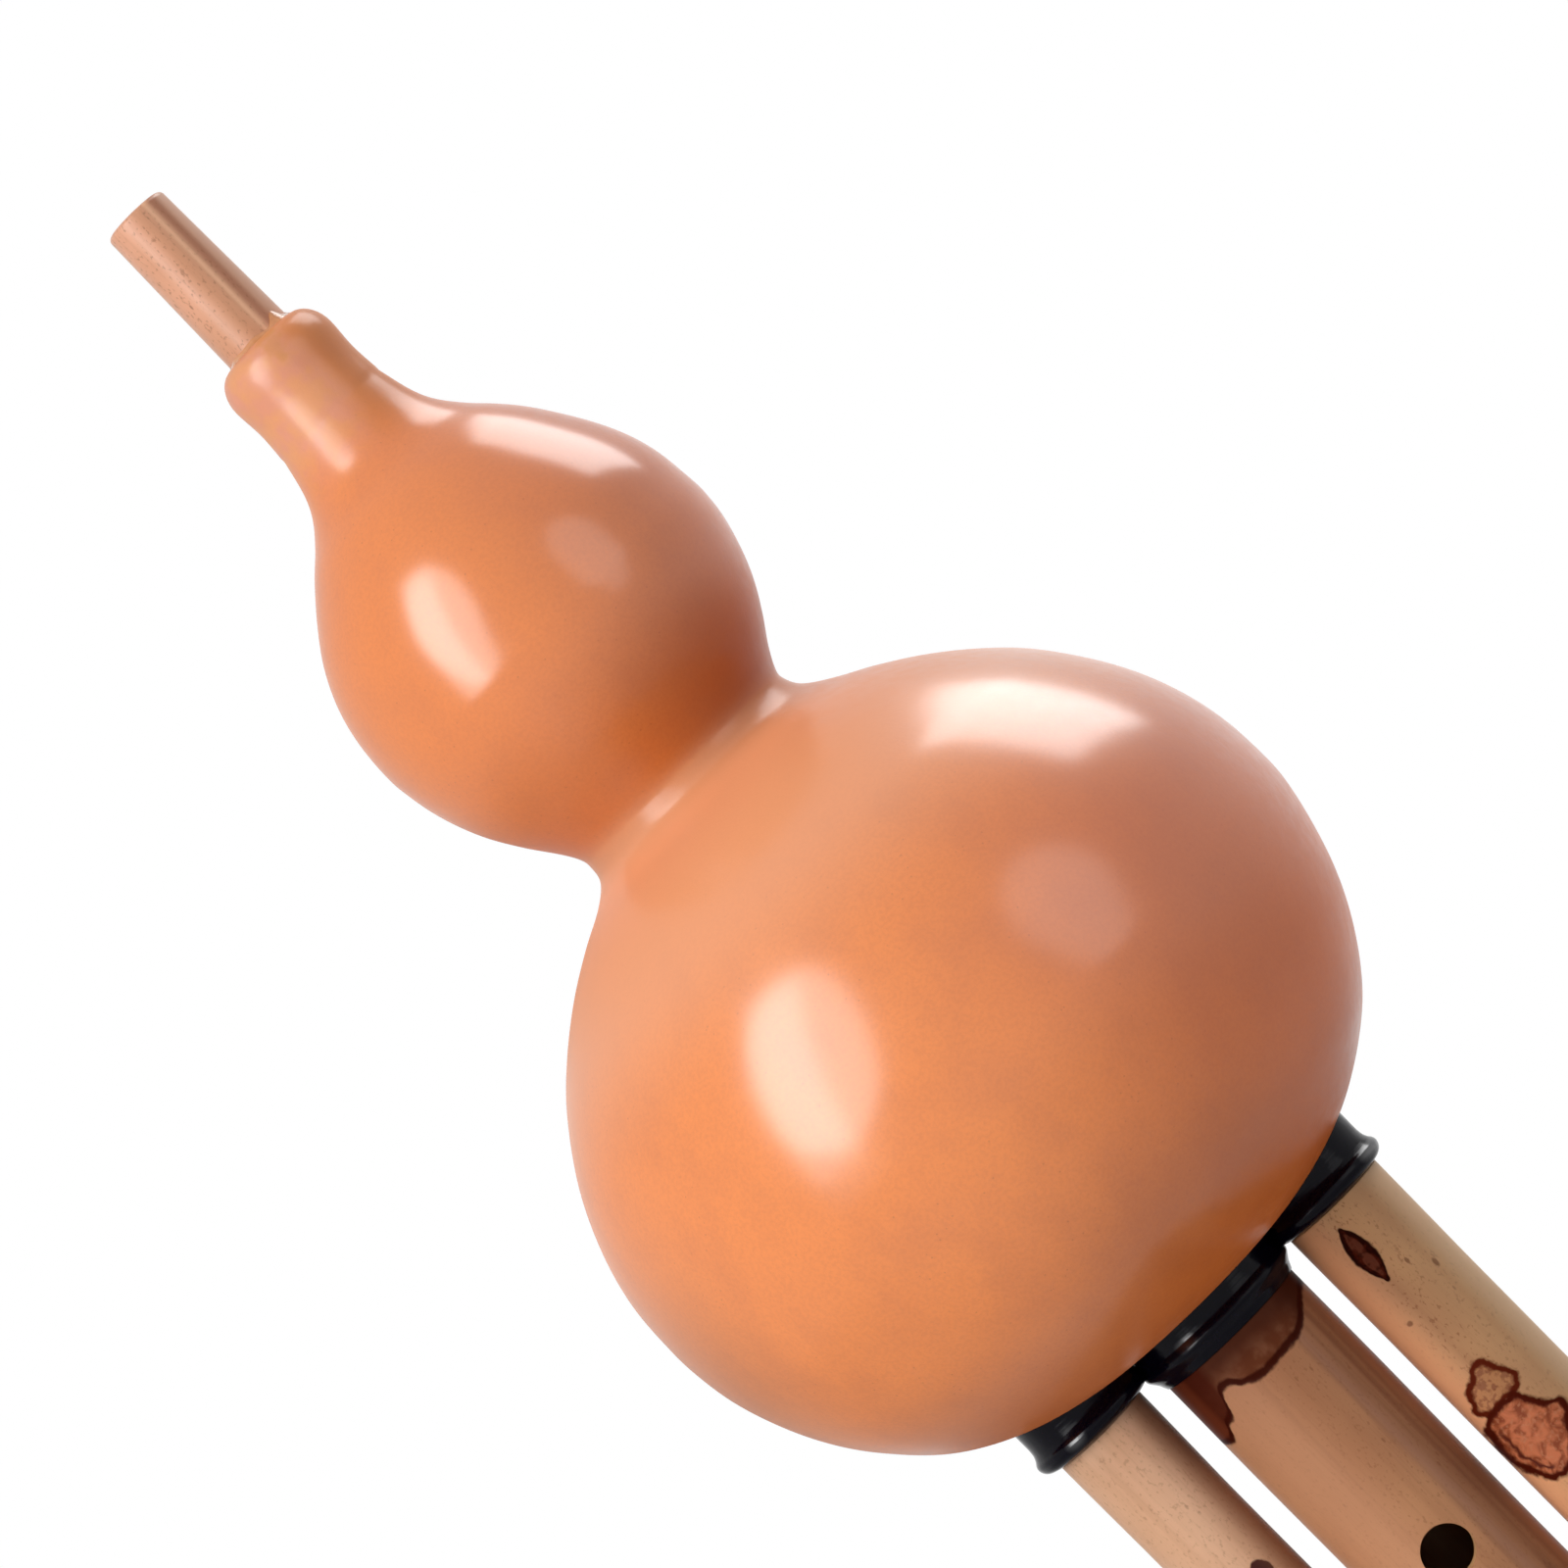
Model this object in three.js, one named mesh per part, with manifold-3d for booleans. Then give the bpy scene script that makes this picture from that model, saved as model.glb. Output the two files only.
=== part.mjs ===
// A hulusi: a bottle gourd blown through a bamboo mouthpiece, with one finger pipe and two drones.
// Millimetres, +Z up towards the mouthpiece, finger holes facing -Y, origin on the axis in the waist.
import * as THREE from 'three';
import { mergeVertices, toCreasedNormals } from 'three/addons/utils/BufferGeometryUtils.js';
import Module from 'manifold-3d';

const wasm = await Module();
wasm.setup();

// Gourd: levels are heights above the waist
const waistRadius = 14.5;
const bigRadius = 45.1;
const bigLevel = -42.9;
const baseLevel = -78.7;
const smallRadius = 22.9;
const smallLevel = 21.9;
const neckRadius = 7.1;
const neckFoot = 54;
const neckTop = 65;
const neckRound = 2.6;
const neckRoundHeight = 3.6;
const neckHoleFoot = 36;
const gourdWall = 4;
const leanReach = 0.75;

// Mouthpiece tube
const mouthRadius = 4.2;
const mouthTipRadius = 4.05;
const mouthBore = 3.1;
const mouthTop = 84.6;
const mouthFoot = 47;
const mouthRound = 0.55;
const glueWidth = 0.8;
const glueHeight = 0.6;
const glueCrownShare = 0.6;

// Pipes: a thick one in the middle and a drone on each side
const pipeSpacing = 17.5;
const mainRadius = 9.15;
const leftRadius = 5.85;
const rightRadius = 6.3;
const mainBore = 6.3;
const leftBore = 3.2;
const rightBore = 3.5;
const mainTop = -32;
const leftTop = -38;
const rightTop = -38;
const mainFoot = -333.5;
const leftFoot = -241.5;
const rightFoot = -271.5;
const tenonStep = 0.65;
const pipeRound = 0.6;
const footSwell = 0.35;

// Collars under the gourd
const mainRim = -83.4;
const outerRim = -81.3;
const mainCollarRadius = 10.1;
const leftCollarRadius = 7.1;
const rightCollarRadius = 7.2;
const mainBeadReach = 0.4;
const outerBeadReach = 0.75;
const beadHeight = 3.6;
const sleeveWall = 0.9;
const mainCollarTop = -72;
const outerCollarTop = -69.5;
const corkDepth = 0.7;
const mainCorkLength = 7;
const outerCorkLength = 6;
const corkFromRim = 2.4;

// Finger holes, thumb hole, vent and the two tassel holes
const fingerHoleRadius = 3.05;
const firstHoleLevel = -115.9;
const holePitch = 22.5;
const fingerHoleCount = 6;
const thumbHoleLevel = -102.5;
const ventRadius = 2.6;
const ventLevel = -262;
const tasselHoleRadius = 1.8;
const tasselLevel = -279;
const tasselTurn = 0.62;

// Reeds: a brass plate with its tongue, bedded in wax on a flat of the pipe
const plateThickness = 0.5;
const mainPlateWidth = 7;
const mainPlateLength = 29;
const dronePlateWidth = 4.4;
const dronePlateLength = 21;
const reedFromTop = 5.5;
const slitWidth = 0.35;
const waxWidth = 0.7;
const waxDepth = 0.35;
const flatCoverMain = 0.6;
const flatCoverDrone = 0.75;
const flatMargin = 2;
const tongueStartShare = 0.16;
const tongueEndShare = 0.86;
const tongueBaseShare = 0.5;
const tongueTipShare = 0.16;
const windowShare = 0.62;

// Plugs and stoppers
const plugHead = 2;
const plugShank = 5;
const stopperShank = 9;
const stopperHead = 6;
const stopperFlare = 1.4;
const stopperRound = 1.2;

// Clearances: sliding, glued, collars side by side, resting on each other, and thin pieces on a flat
const slideFit = 0.2;
const glueFit = 0.15;
const touchGap = 0.1;
const restGap = 0.3;
const flatGap = 0.06;
const past = 2;

// How finely the round forms are cut
const gourdSides = 48;
const mainSides = 28;
const droneSides = 20;
const smallSides = 20;
const roundSteps = 3;
const outlineSteps = 38;
const chamberSteps = 16;

// The gourd's outline as shares: [share of the stretch's height, share of its reach]
const bigTopShares = [
  [0.15, 0.987], [0.3, 0.933], [0.45, 0.836], [0.6, 0.69], [0.7, 0.553],
  [0.79, 0.395], [0.86, 0.24], [0.91, 0.11], [0.955, 0.025], [1, 0],
];
const smallFootShares = [
  [0.06, 0.022], [0.16, 0.168], [0.3, 0.42], [0.45, 0.65], [0.6, 0.815], [0.75, 0.93], [0.88, 0.985], [1, 1],
];
const smallTopShares = [
  [0.15, 0.972], [0.28, 0.9], [0.41, 0.773], [0.54, 0.595], [0.64, 0.425],
  [0.72, 0.265], [0.8, 0.135], [0.88, 0.06], [1, 0],
];
// The natural lean of the gourd: [share of the height from base to neck, share of the lean]
const leanShares = [
  [0, -0.6], [0.04, -0.4], [0.09, 0.25], [0.19, 0.45], [0.28, 0.93], [0.4, 1.2], [0.5, 1.39], [0.56, 1.35],
  [0.6, 0.36], [0.63, 0.22], [0.72, 0.07], [0.78, -0.22], [0.86, -0.52], [0.91, -0.18], [0.95, 0], [1, 0],
];
// The base is a superellipse: bulging at its sides, flatter round the collars
const baseReachPower = 2.93;
const baseDropPower = 1.8;
const baseSteps = 11;
// The main collar's rim opens upwards like a cup: [share of the bead's height, share of its reach]
const cupShares = [
  [0, -1.88], [0.1, -1.5], [0.25, -0.9], [0.4, 0.13], [0.5, 0.75], [0.62, 1], [0.75, 0.63], [0.88, 0.13], [1, 0],
];
// An outer collar's bead from its rim upwards, in the same shares
const beadShares = [
  [0, -0.75], [0.08, 0.1], [0.2, 0.7], [0.32, 0.96], [0.4, 1], [0.5, 0.85], [0.62, 0.45], [0.78, 0.12], [1, 0],
];

// Materials: colour, roughness and metalness as photographed
function gourdSkin() {
  return new THREE.MeshStandardMaterial({ color: 0xd98652, roughness: 0.34, metalness: 0 });
}

function bamboo() {
  return new THREE.MeshStandardMaterial({ color: 0xcda07c, roughness: 0.42, metalness: 0 });
}

function paleBamboo() {
  return new THREE.MeshStandardMaterial({ color: 0xd3a781, roughness: 0.45, metalness: 0 });
}

function blackPlastic() {
  return new THREE.MeshStandardMaterial({ color: 0x11111a, roughness: 0.16, metalness: 0 });
}

function brass() {
  return new THREE.MeshStandardMaterial({ color: 0xc9a04e, roughness: 0.3, metalness: 1 });
}

function wax() {
  return new THREE.MeshStandardMaterial({ color: 0xb4632b, roughness: 0.5, metalness: 0 });
}

function cork() {
  return new THREE.MeshStandardMaterial({ color: 0xb98a5c, roughness: 0.9, metalness: 0 });
}

function darkWood() {
  return new THREE.MeshStandardMaterial({ color: 0x3b2015, roughness: 0.4, metalness: 0 });
}

function glue() {
  return new THREE.MeshStandardMaterial({ color: 0xa86a3c, roughness: 0.25, metalness: 0 });
}

// Turns a geometry into a closed solid, with its faces outward
function solidOf(geometry) {
  const plain = geometry.clone();
  plain.deleteAttribute('normal');
  plain.deleteAttribute('uv');
  const merged = mergeVertices(plain, 1e-5);
  const vertProperties = new Float32Array(merged.attributes.position.array);
  const corners = merged.index.array;
  const kept = [];
  for (let i = 0; i < corners.length; i += 3) {
    const [a, b, c] = [corners[i], corners[i + 1], corners[i + 2]];
    if (a !== b && b !== c && c !== a) {
      kept.push(a, b, c);
    }
  }
  return new wasm.Manifold(new wasm.Mesh({ numProp: 3, vertProperties, triVerts: new Uint32Array(kept) }));
}

// Makes the named mesh of a finished solid
function piece(name, solid, material) {
  const made = solid.getMesh();
  const geometry = new THREE.BufferGeometry();
  geometry.setAttribute('position', new THREE.BufferAttribute(new Float32Array(made.vertProperties), 3));
  geometry.setIndex(new THREE.BufferAttribute(new Uint32Array(made.triVerts), 1));
  const mesh = new THREE.Mesh(toCreasedNormals(geometry, 0.6), material);
  mesh.name = name;
  return mesh;
}

// Revolves a profile of [radius, height] pairs about an upright axis; it runs upwards on its outer side
function revolved(profile, sides, x = 0) {
  const points = profile.map(([radius, height]) => new THREE.Vector2(radius, height));
  const geometry = new THREE.LatheGeometry(points, sides);
  geometry.rotateX(Math.PI / 2);
  geometry.translate(x, 0, 0);
  return geometry;
}

// A ring, whose profile closes on itself
function ring(profile, sides) {
  return solidOf(revolved([...profile, profile[0]], sides));
}

// A full body, whose profile is carried to the axis at both ends
function turnedSolid(profile, sides, x = 0) {
  const foot = profile[0];
  const top = profile[profile.length - 1];
  return solidOf(revolved([[0, foot[1]], ...profile, [0, top[1]]], sides, x));
}

function rod(radius, foot, top, sides, x = 0) {
  return turnedSolid([[radius, foot], [radius, top]], sides, x);
}

// A round tool from the pipe's axis outwards: to the back, or turned from there about the axis
function holeTool(radius, level, reach, turn) {
  const geometry = new THREE.CylinderGeometry(radius, radius, reach, smallSides);
  geometry.translate(0, reach / 2, 0);
  geometry.rotateZ(turn);
  geometry.translate(0, 0, level);
  return solidOf(geometry);
}

function block(width, depth, height, x, y, z) {
  const geometry = new THREE.BoxGeometry(width, depth, height);
  geometry.translate(x, y, z);
  return solidOf(geometry);
}

// A quarter round between two points of a profile, bulging away from its centre; rise makes it oval
function quarter(centreRadius, centreHeight, round, startTurn, endTurn, rise = round) {
  const arc = [];
  for (let i = 0; i <= roundSteps; i += 1) {
    const turn = THREE.MathUtils.lerp(startTurn, endTurn, i / roundSteps);
    arc.push([centreRadius + round * Math.cos(turn), centreHeight + rise * Math.sin(turn)]);
  }
  return arc;
}

// The gourd's outer outline from its base to the foot of its neck
function gourdOutline() {
  const points = [[0, baseLevel]];
  for (let i = 1; i <= baseSteps; i += 1) {
    const turn = (i / baseSteps) * (Math.PI / 2);
    const reach = Math.sin(turn) ** (2 / baseReachPower);
    const drop = Math.cos(turn) ** (2 / baseDropPower);
    points.push([bigRadius * reach, bigLevel + (baseLevel - bigLevel) * drop]);
  }
  for (const [rise, reach] of bigTopShares) {
    points.push([waistRadius + (bigRadius - waistRadius) * reach, bigLevel * (1 - rise)]);
  }
  for (const [rise, reach] of smallFootShares) {
    points.push([waistRadius + (smallRadius - waistRadius) * reach, smallLevel * rise]);
  }
  for (const [rise, reach] of smallTopShares) {
    const height = smallLevel + (neckFoot - smallLevel) * rise;
    points.push([neckRadius + (smallRadius - neckRadius) * reach, height]);
  }
  return points;
}

// Moves an outline along its own normals: outwards for a positive distance
function offsetOutline(points, distance) {
  return points.map(([radius, height], i) => {
    const before = points[Math.max(i - 1, 0)];
    const after = points[Math.min(i + 1, points.length - 1)];
    const along = new THREE.Vector2(after[0] - before[0], after[1] - before[1]).normalize();
    return [radius + along.y * distance, height - along.x * distance];
  });
}

function smoothOutline(points, steps) {
  const curve = new THREE.SplineCurve(points.map(([radius, height]) => new THREE.Vector2(radius, height)));
  return curve.getPoints(steps).map((point) => [point.x, point.y]);
}

function leanAt(height) {
  const rise = THREE.MathUtils.clamp((height - baseLevel) / (neckFoot - baseLevel), 0, 1);
  for (let i = 1; i < leanShares.length; i += 1) {
    const [lowRise, lowLean] = leanShares[i - 1];
    const [highRise, highLean] = leanShares[i];
    if (rise <= highRise) {
      const step = THREE.MathUtils.smoothstep(rise, lowRise, highRise);
      return leanReach * THREE.MathUtils.lerp(lowLean, highLean, step);
    }
  }
  return 0;
}

// The gourd as a full body, grown or shrunk by a distance; it ends where its neck's hole begins
function gourdBody(distance, steps, x = 0) {
  const outline = offsetOutline(smoothOutline(gourdOutline(), steps), distance);
  const profile = outline.filter(([radius, height]) => height < smallLevel || radius > mouthRadius);
  profile[0][0] = 0;
  profile.push([0, profile[profile.length - 1][1]]);
  const geometry = revolved(profile, gourdSides, x);
  const position = geometry.attributes.position;
  for (let i = 0; i < position.count; i += 1) {
    position.setX(i, position.getX(i) + leanAt(position.getZ(i)));
  }
  return solidOf(geometry);
}

function gourdShell() {
  const neck = turnedSolid([
    [neckRadius, neckFoot - restGap],
    ...quarter(neckRadius - neckRound, neckTop - neckRoundHeight, neckRound, 0, Math.PI / 2, neckRoundHeight),
  ], gourdSides);
  const chamber = gourdBody(-gourdWall, chamberSteps);
  const neckHole = rod(mouthRadius + glueFit, neckHoleFoot, neckTop + past, smallSides);
  let shell = gourdBody(0, outlineSteps).add(neck).subtract(chamber).subtract(neckHole);
  for (const pipe of pipes) {
    const hole = rod(spigotRadius(pipe) + glueFit, baseLevel - past, pipe.collarTop, pipe.sides, pipe.x);
    shell = shell.subtract(hole);
  }
  return piece('gourd_shell', shell, gourdSkin());
}

function mouthpieceTube() {
  const tube = ring([
    [mouthBore, mouthTop],
    [mouthBore, mouthFoot],
    [mouthRadius, mouthFoot],
    [mouthRadius, neckTop],
    ...quarter(mouthTipRadius - mouthRound, mouthTop - mouthRound, mouthRound, 0, Math.PI / 2),
  ], smallSides);
  return piece('mouthpiece_tube', tube, bamboo());
}

function mouthpieceGlue() {
  const inner = mouthRadius + flatGap;
  const foot = neckTop + flatGap;
  const bead = ring([
    [inner, foot + glueHeight],
    [inner, foot],
    [inner + glueWidth, foot],
    [inner + glueWidth * glueCrownShare, foot + glueHeight * glueCrownShare],
  ], smallSides);
  return piece('mouthpiece_glue_fillet', bead, glue());
}

// Sizes of each pipe and of the collar that holds it
const pipes = [
  {
    name: 'main', x: 0, radius: mainRadius, bore: mainBore, top: mainTop, foot: mainFoot,
    rim: mainRim, collar: mainCollarRadius, bead: mainBeadReach, rimShares: cupShares,
    collarTop: mainCollarTop, corkLength: mainCorkLength,
    plateWidth: mainPlateWidth, plateLength: mainPlateLength, flatCover: flatCoverMain, sides: mainSides,
  },
  {
    name: 'left', x: -pipeSpacing, radius: leftRadius, bore: leftBore, top: leftTop, foot: leftFoot,
    rim: outerRim, collar: leftCollarRadius, bead: outerBeadReach, rimShares: beadShares,
    collarTop: outerCollarTop, corkLength: outerCorkLength,
    plateWidth: dronePlateWidth, plateLength: dronePlateLength, flatCover: flatCoverDrone, sides: droneSides,
  },
  {
    name: 'right', x: pipeSpacing, radius: rightRadius, bore: rightBore, top: rightTop, foot: rightFoot,
    rim: outerRim, collar: rightCollarRadius, bead: outerBeadReach, rimShares: beadShares,
    collarTop: outerCollarTop, corkLength: outerCorkLength,
    plateWidth: dronePlateWidth, plateLength: dronePlateLength, flatCover: flatCoverDrone, sides: droneSides,
  },
];

function tenonRadius(pipe) {
  return pipe.radius - tenonStep;
}

function spigotRadius(pipe) {
  return tenonRadius(pipe) + slideFit + sleeveWall;
}

// The flat that carries the reed lies this far in front of the pipe's axis
function flatDepth(pipe) {
  return pipe.bore + pipe.flatCover;
}

function reedLevel(pipe) {
  return pipe.top - reedFromTop - pipe.plateLength / 2;
}

// The outside of a collar, grown by a distance and turned about its own axis
function collarBody(pipe, distance, x = 0) {
  const bead = pipe.rimShares.map(([rise, reach]) => [
    pipe.collar + distance + pipe.bead * reach,
    pipe.rim + beadHeight * rise,
  ]);
  return turnedSolid([...bead, [pipe.collar + distance, pipe.collarTop]], pipe.sides, x);
}

// A black collar: rolled bead at its rim, trimmed to the gourd, with a sleeve up through the wall
function collar(pipe) {
  let solid = collarBody(pipe, 0).subtract(gourdBody(restGap, outlineSteps, -pipe.x));
  solid = solid.add(rod(spigotRadius(pipe), pipe.rim + beadHeight, pipe.collarTop, pipe.sides));
  solid = solid.subtract(rod(tenonRadius(pipe) + slideFit, pipe.rim - past, pipe.collarTop + past, pipe.sides));
  if (pipe.x !== 0) {
    solid = solid.subtract(collarBody(pipes[0], touchGap, -pipe.x));
  }
  return piece(pipe.name + '_collar', solid, blackPlastic());
}

// A bamboo pipe: tenon with its cork groove, shoulder at the collar, and a slightly swelling foot
function pipeBlank(pipe) {
  const tenon = tenonRadius(pipe);
  const shoulder = pipe.rim - restGap;
  const grooveFoot = pipe.rim + corkFromRim;
  const grooveTop = grooveFoot + pipe.corkLength;
  const foot = pipe.radius + footSwell;
  return ring([
    [pipe.bore, pipe.top],
    [pipe.bore, pipe.foot],
    ...quarter(foot - pipeRound, pipe.foot + pipeRound, pipeRound, -Math.PI / 2, 0),
    [pipe.radius, (pipe.foot + shoulder) / 2],
    ...quarter(pipe.radius - pipeRound / 2, shoulder - pipeRound / 2, pipeRound / 2, 0, Math.PI / 2),
    [tenon, shoulder],
    [tenon, grooveFoot],
    [tenon - corkDepth, grooveFoot],
    [tenon - corkDepth, grooveTop],
    [tenon, grooveTop],
    [tenon, pipe.top],
  ], pipe.sides);
}

// The flat in front of the tenon and the window under the reed's tongue
function reedSeat(pipe) {
  const level = reedLevel(pipe);
  const deep = tenonRadius(pipe);
  const width = 2 * tenonRadius(pipe);
  const flatLength = pipe.plateLength + 2 * waxWidth + flatMargin;
  const flat = block(width, deep, flatLength, 0, -flatDepth(pipe) - deep / 2, level);
  const windowWidth = pipe.plateWidth * windowShare;
  const windowLength = pipe.plateLength * (tongueEndShare - tongueStartShare) + flatMargin;
  const middle = pipe.plateLength * ((tongueEndShare + tongueStartShare) / 2 - 1 / 2);
  const opening = block(windowWidth, deep, windowLength, 0, -deep, level + middle);
  return flat.add(opening);
}

function mainPipe(pipe) {
  let solid = pipeBlank(pipe).subtract(reedSeat(pipe));
  const reach = pipe.radius + past;
  for (let i = 0; i < fingerHoleCount; i += 1) {
    solid = solid.subtract(holeTool(fingerHoleRadius, firstHoleLevel - i * holePitch, reach, Math.PI));
  }
  solid = solid.subtract(holeTool(fingerHoleRadius, thumbHoleLevel, reach, 0));
  solid = solid.subtract(holeTool(ventRadius, ventLevel, reach, 0));
  for (const side of [-1, 1]) {
    solid = solid.subtract(holeTool(tasselHoleRadius, tasselLevel, reach, side * tasselTurn));
  }
  return piece('main_pipe', solid, bamboo());
}

function dronePipe(pipe) {
  return piece(pipe.name + '_drone_pipe', pipeBlank(pipe).subtract(reedSeat(pipe)), paleBamboo());
}

function tenonCork(pipe) {
  const inner = tenonRadius(pipe) - corkDepth + flatGap;
  const outer = tenonRadius(pipe) + flatGap;
  const foot = pipe.rim + corkFromRim + flatGap;
  const top = pipe.rim + corkFromRim + pipe.corkLength - flatGap;
  const sleeve = ring([[inner, top], [inner, foot], [outer, foot], [outer, top]], pipe.sides);
  return piece(pipe.name + '_tenon_cork', sleeve, cork());
}

function rectangle(path, width, length) {
  path.moveTo(-width / 2, -length / 2);
  path.lineTo(width / 2, -length / 2);
  path.lineTo(width / 2, length / 2);
  path.lineTo(-width / 2, length / 2);
  path.closePath();
  return path;
}

// Stands a flat outline upright on a pipe's flat: its own y becomes Z, its depth runs to the front
function onFlat(shape, depth, pipe) {
  const geometry = new THREE.ExtrudeGeometry(shape, { depth, bevelEnabled: false });
  geometry.rotateX(Math.PI / 2);
  geometry.translate(0, -flatDepth(pipe) - flatGap, reedLevel(pipe));
  return solidOf(geometry);
}

// The brass plate; a slit on three sides frees the tongue, which stays joined at its foot
function reedPlate(pipe) {
  const shape = rectangle(new THREE.Shape(), pipe.plateWidth, pipe.plateLength);
  const footLevel = pipe.plateLength * (tongueStartShare - 1 / 2);
  const tipLevel = pipe.plateLength * (tongueEndShare - 1 / 2);
  const footHalf = (pipe.plateWidth * tongueBaseShare) / 2;
  const tipHalf = (pipe.plateWidth * tongueTipShare) / 2;
  const slit = new THREE.Path();
  slit.moveTo(-footHalf - slitWidth, footLevel);
  slit.lineTo(-tipHalf - slitWidth, tipLevel + slitWidth);
  slit.lineTo(tipHalf + slitWidth, tipLevel + slitWidth);
  slit.lineTo(footHalf + slitWidth, footLevel);
  slit.lineTo(footHalf, footLevel);
  slit.lineTo(tipHalf, tipLevel);
  slit.lineTo(-tipHalf, tipLevel);
  slit.lineTo(-footHalf, footLevel);
  slit.closePath();
  shape.holes.push(slit);
  return piece(pipe.name + '_reed_plate', onFlat(shape, plateThickness, pipe), brass());
}

// The wax lies round the plate's edge
function reedWax(pipe) {
  const inner = 2 * flatGap;
  const outer = 2 * waxWidth;
  const shape = rectangle(new THREE.Shape(), pipe.plateWidth + outer, pipe.plateLength + outer);
  shape.holes.push(rectangle(new THREE.Path(), pipe.plateWidth + inner, pipe.plateLength + inner));
  return piece(pipe.name + '_reed_wax', onFlat(shape, waxDepth, pipe), wax());
}

function topPlug(pipe) {
  const shank = pipe.bore - glueFit;
  const head = tenonRadius(pipe) - glueFit;
  const seat = pipe.top + flatGap;
  const plug = turnedSolid([
    [shank, pipe.top - plugShank],
    [shank, seat],
    [head, seat],
    ...quarter(head - pipeRound, seat + plugHead - pipeRound, pipeRound, 0, Math.PI / 2),
  ], pipe.sides);
  return piece(pipe.name + '_top_plug', plug, darkWood());
}

// A stopper for a drone's lower end: a shank in the bore and a turned grip below it
function droneStopper(pipe) {
  const shank = pipe.bore - slideFit;
  const face = pipe.foot - restGap;
  const grip = pipe.radius - pipeRound;
  const waist = grip - stopperFlare;
  const stopper = turnedSolid([
    ...quarter(grip - stopperRound, face - stopperHead + stopperRound, stopperRound, -Math.PI / 2, 0),
    [grip, face - stopperHead / 2],
    [waist, face - stopperHead / 4],
    [grip, face - pipeRound],
    [grip, face],
    [shank, face],
    [shank, pipe.foot + stopperShank - pipeRound],
    [shank - pipeRound, pipe.foot + stopperShank],
  ], pipe.sides);
  return piece(pipe.name + '_drone_stopper', stopper, darkWood());
}

function pipeAssembly(pipe) {
  const assembly = new THREE.Group();
  assembly.add(collar(pipe));
  assembly.add(pipe.name === 'main' ? mainPipe(pipe) : dronePipe(pipe));
  assembly.add(tenonCork(pipe));
  assembly.add(reedPlate(pipe));
  assembly.add(reedWax(pipe));
  assembly.add(topPlug(pipe));
  if (pipe.name !== 'main') {
    assembly.add(droneStopper(pipe));
  }
  assembly.position.x = pipe.x;
  return assembly;
}

const hulusi = new THREE.Group();
hulusi.add(gourdShell());
hulusi.add(mouthpieceTube());
hulusi.add(mouthpieceGlue());
for (const pipe of pipes) {
  hulusi.add(pipeAssembly(pipe));
}

export default hulusi;
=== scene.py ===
import math

import bpy
import numpy as np
from mathutils import Matrix, Vector


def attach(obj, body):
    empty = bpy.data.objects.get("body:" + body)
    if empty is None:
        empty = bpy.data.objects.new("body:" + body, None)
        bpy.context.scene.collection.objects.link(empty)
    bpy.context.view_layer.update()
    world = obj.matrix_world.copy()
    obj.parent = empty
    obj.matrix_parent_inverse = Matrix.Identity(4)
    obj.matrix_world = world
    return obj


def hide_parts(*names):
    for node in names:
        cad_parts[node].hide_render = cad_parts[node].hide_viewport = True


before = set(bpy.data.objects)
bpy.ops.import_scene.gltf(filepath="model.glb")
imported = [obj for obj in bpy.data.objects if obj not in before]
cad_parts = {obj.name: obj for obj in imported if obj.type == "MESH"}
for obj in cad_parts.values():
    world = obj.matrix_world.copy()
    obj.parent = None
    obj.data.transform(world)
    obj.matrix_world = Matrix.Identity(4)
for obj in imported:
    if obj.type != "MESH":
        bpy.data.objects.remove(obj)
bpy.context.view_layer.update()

mm = 0.001
tiny = 1e-6  # keeps a radius of nothing out of a division


# Surfaces
# An arc as points: its centre plus the radius times the cosine outwards and the sine upwards.
def quarter(centreRadius, centreHeight, radius, start, end, steps=10):
    turn = np.linspace(start, end, steps + 1)
    return np.stack([centreRadius + radius * np.cos(turn), centreHeight + radius * np.sin(turn)], 1)


# Catmull-Rom: cubics through the points, whose slope at each is half the way between its neighbours.
def spline(points, count):
    p = np.asarray(points, float)
    n = len(p)
    t = np.linspace(0, n - 1, count)
    i = np.minimum(t.astype(int), n - 2)
    f = (t - i)[:, None]
    a, b, c, d = p[np.maximum(i - 1, 0)], p[i], p[i + 1], p[np.minimum(i + 2, n - 1)]
    v0, v1 = (c - a) / 2, (d - b) / 2
    return (2 * b - 2 * c + v0 + v1) * f ** 3 + (3 * c - 3 * b - 2 * v0 - v1) * f ** 2 + v0 * f + b


# Adds points along straight stretches, so that a warp has something to move.
def fineProfile(points, step):
    p = np.asarray(points, float)
    parts = []
    for a, b in zip(p[:-1], p[1:]):
        count = max(1, int(np.hypot(*(b - a)) / step))
        parts.append(a + (b - a) * np.linspace(0, 1, count, endpoint=False)[:, None])
    parts.append(p[-1:])
    return np.concatenate(parts)


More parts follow.
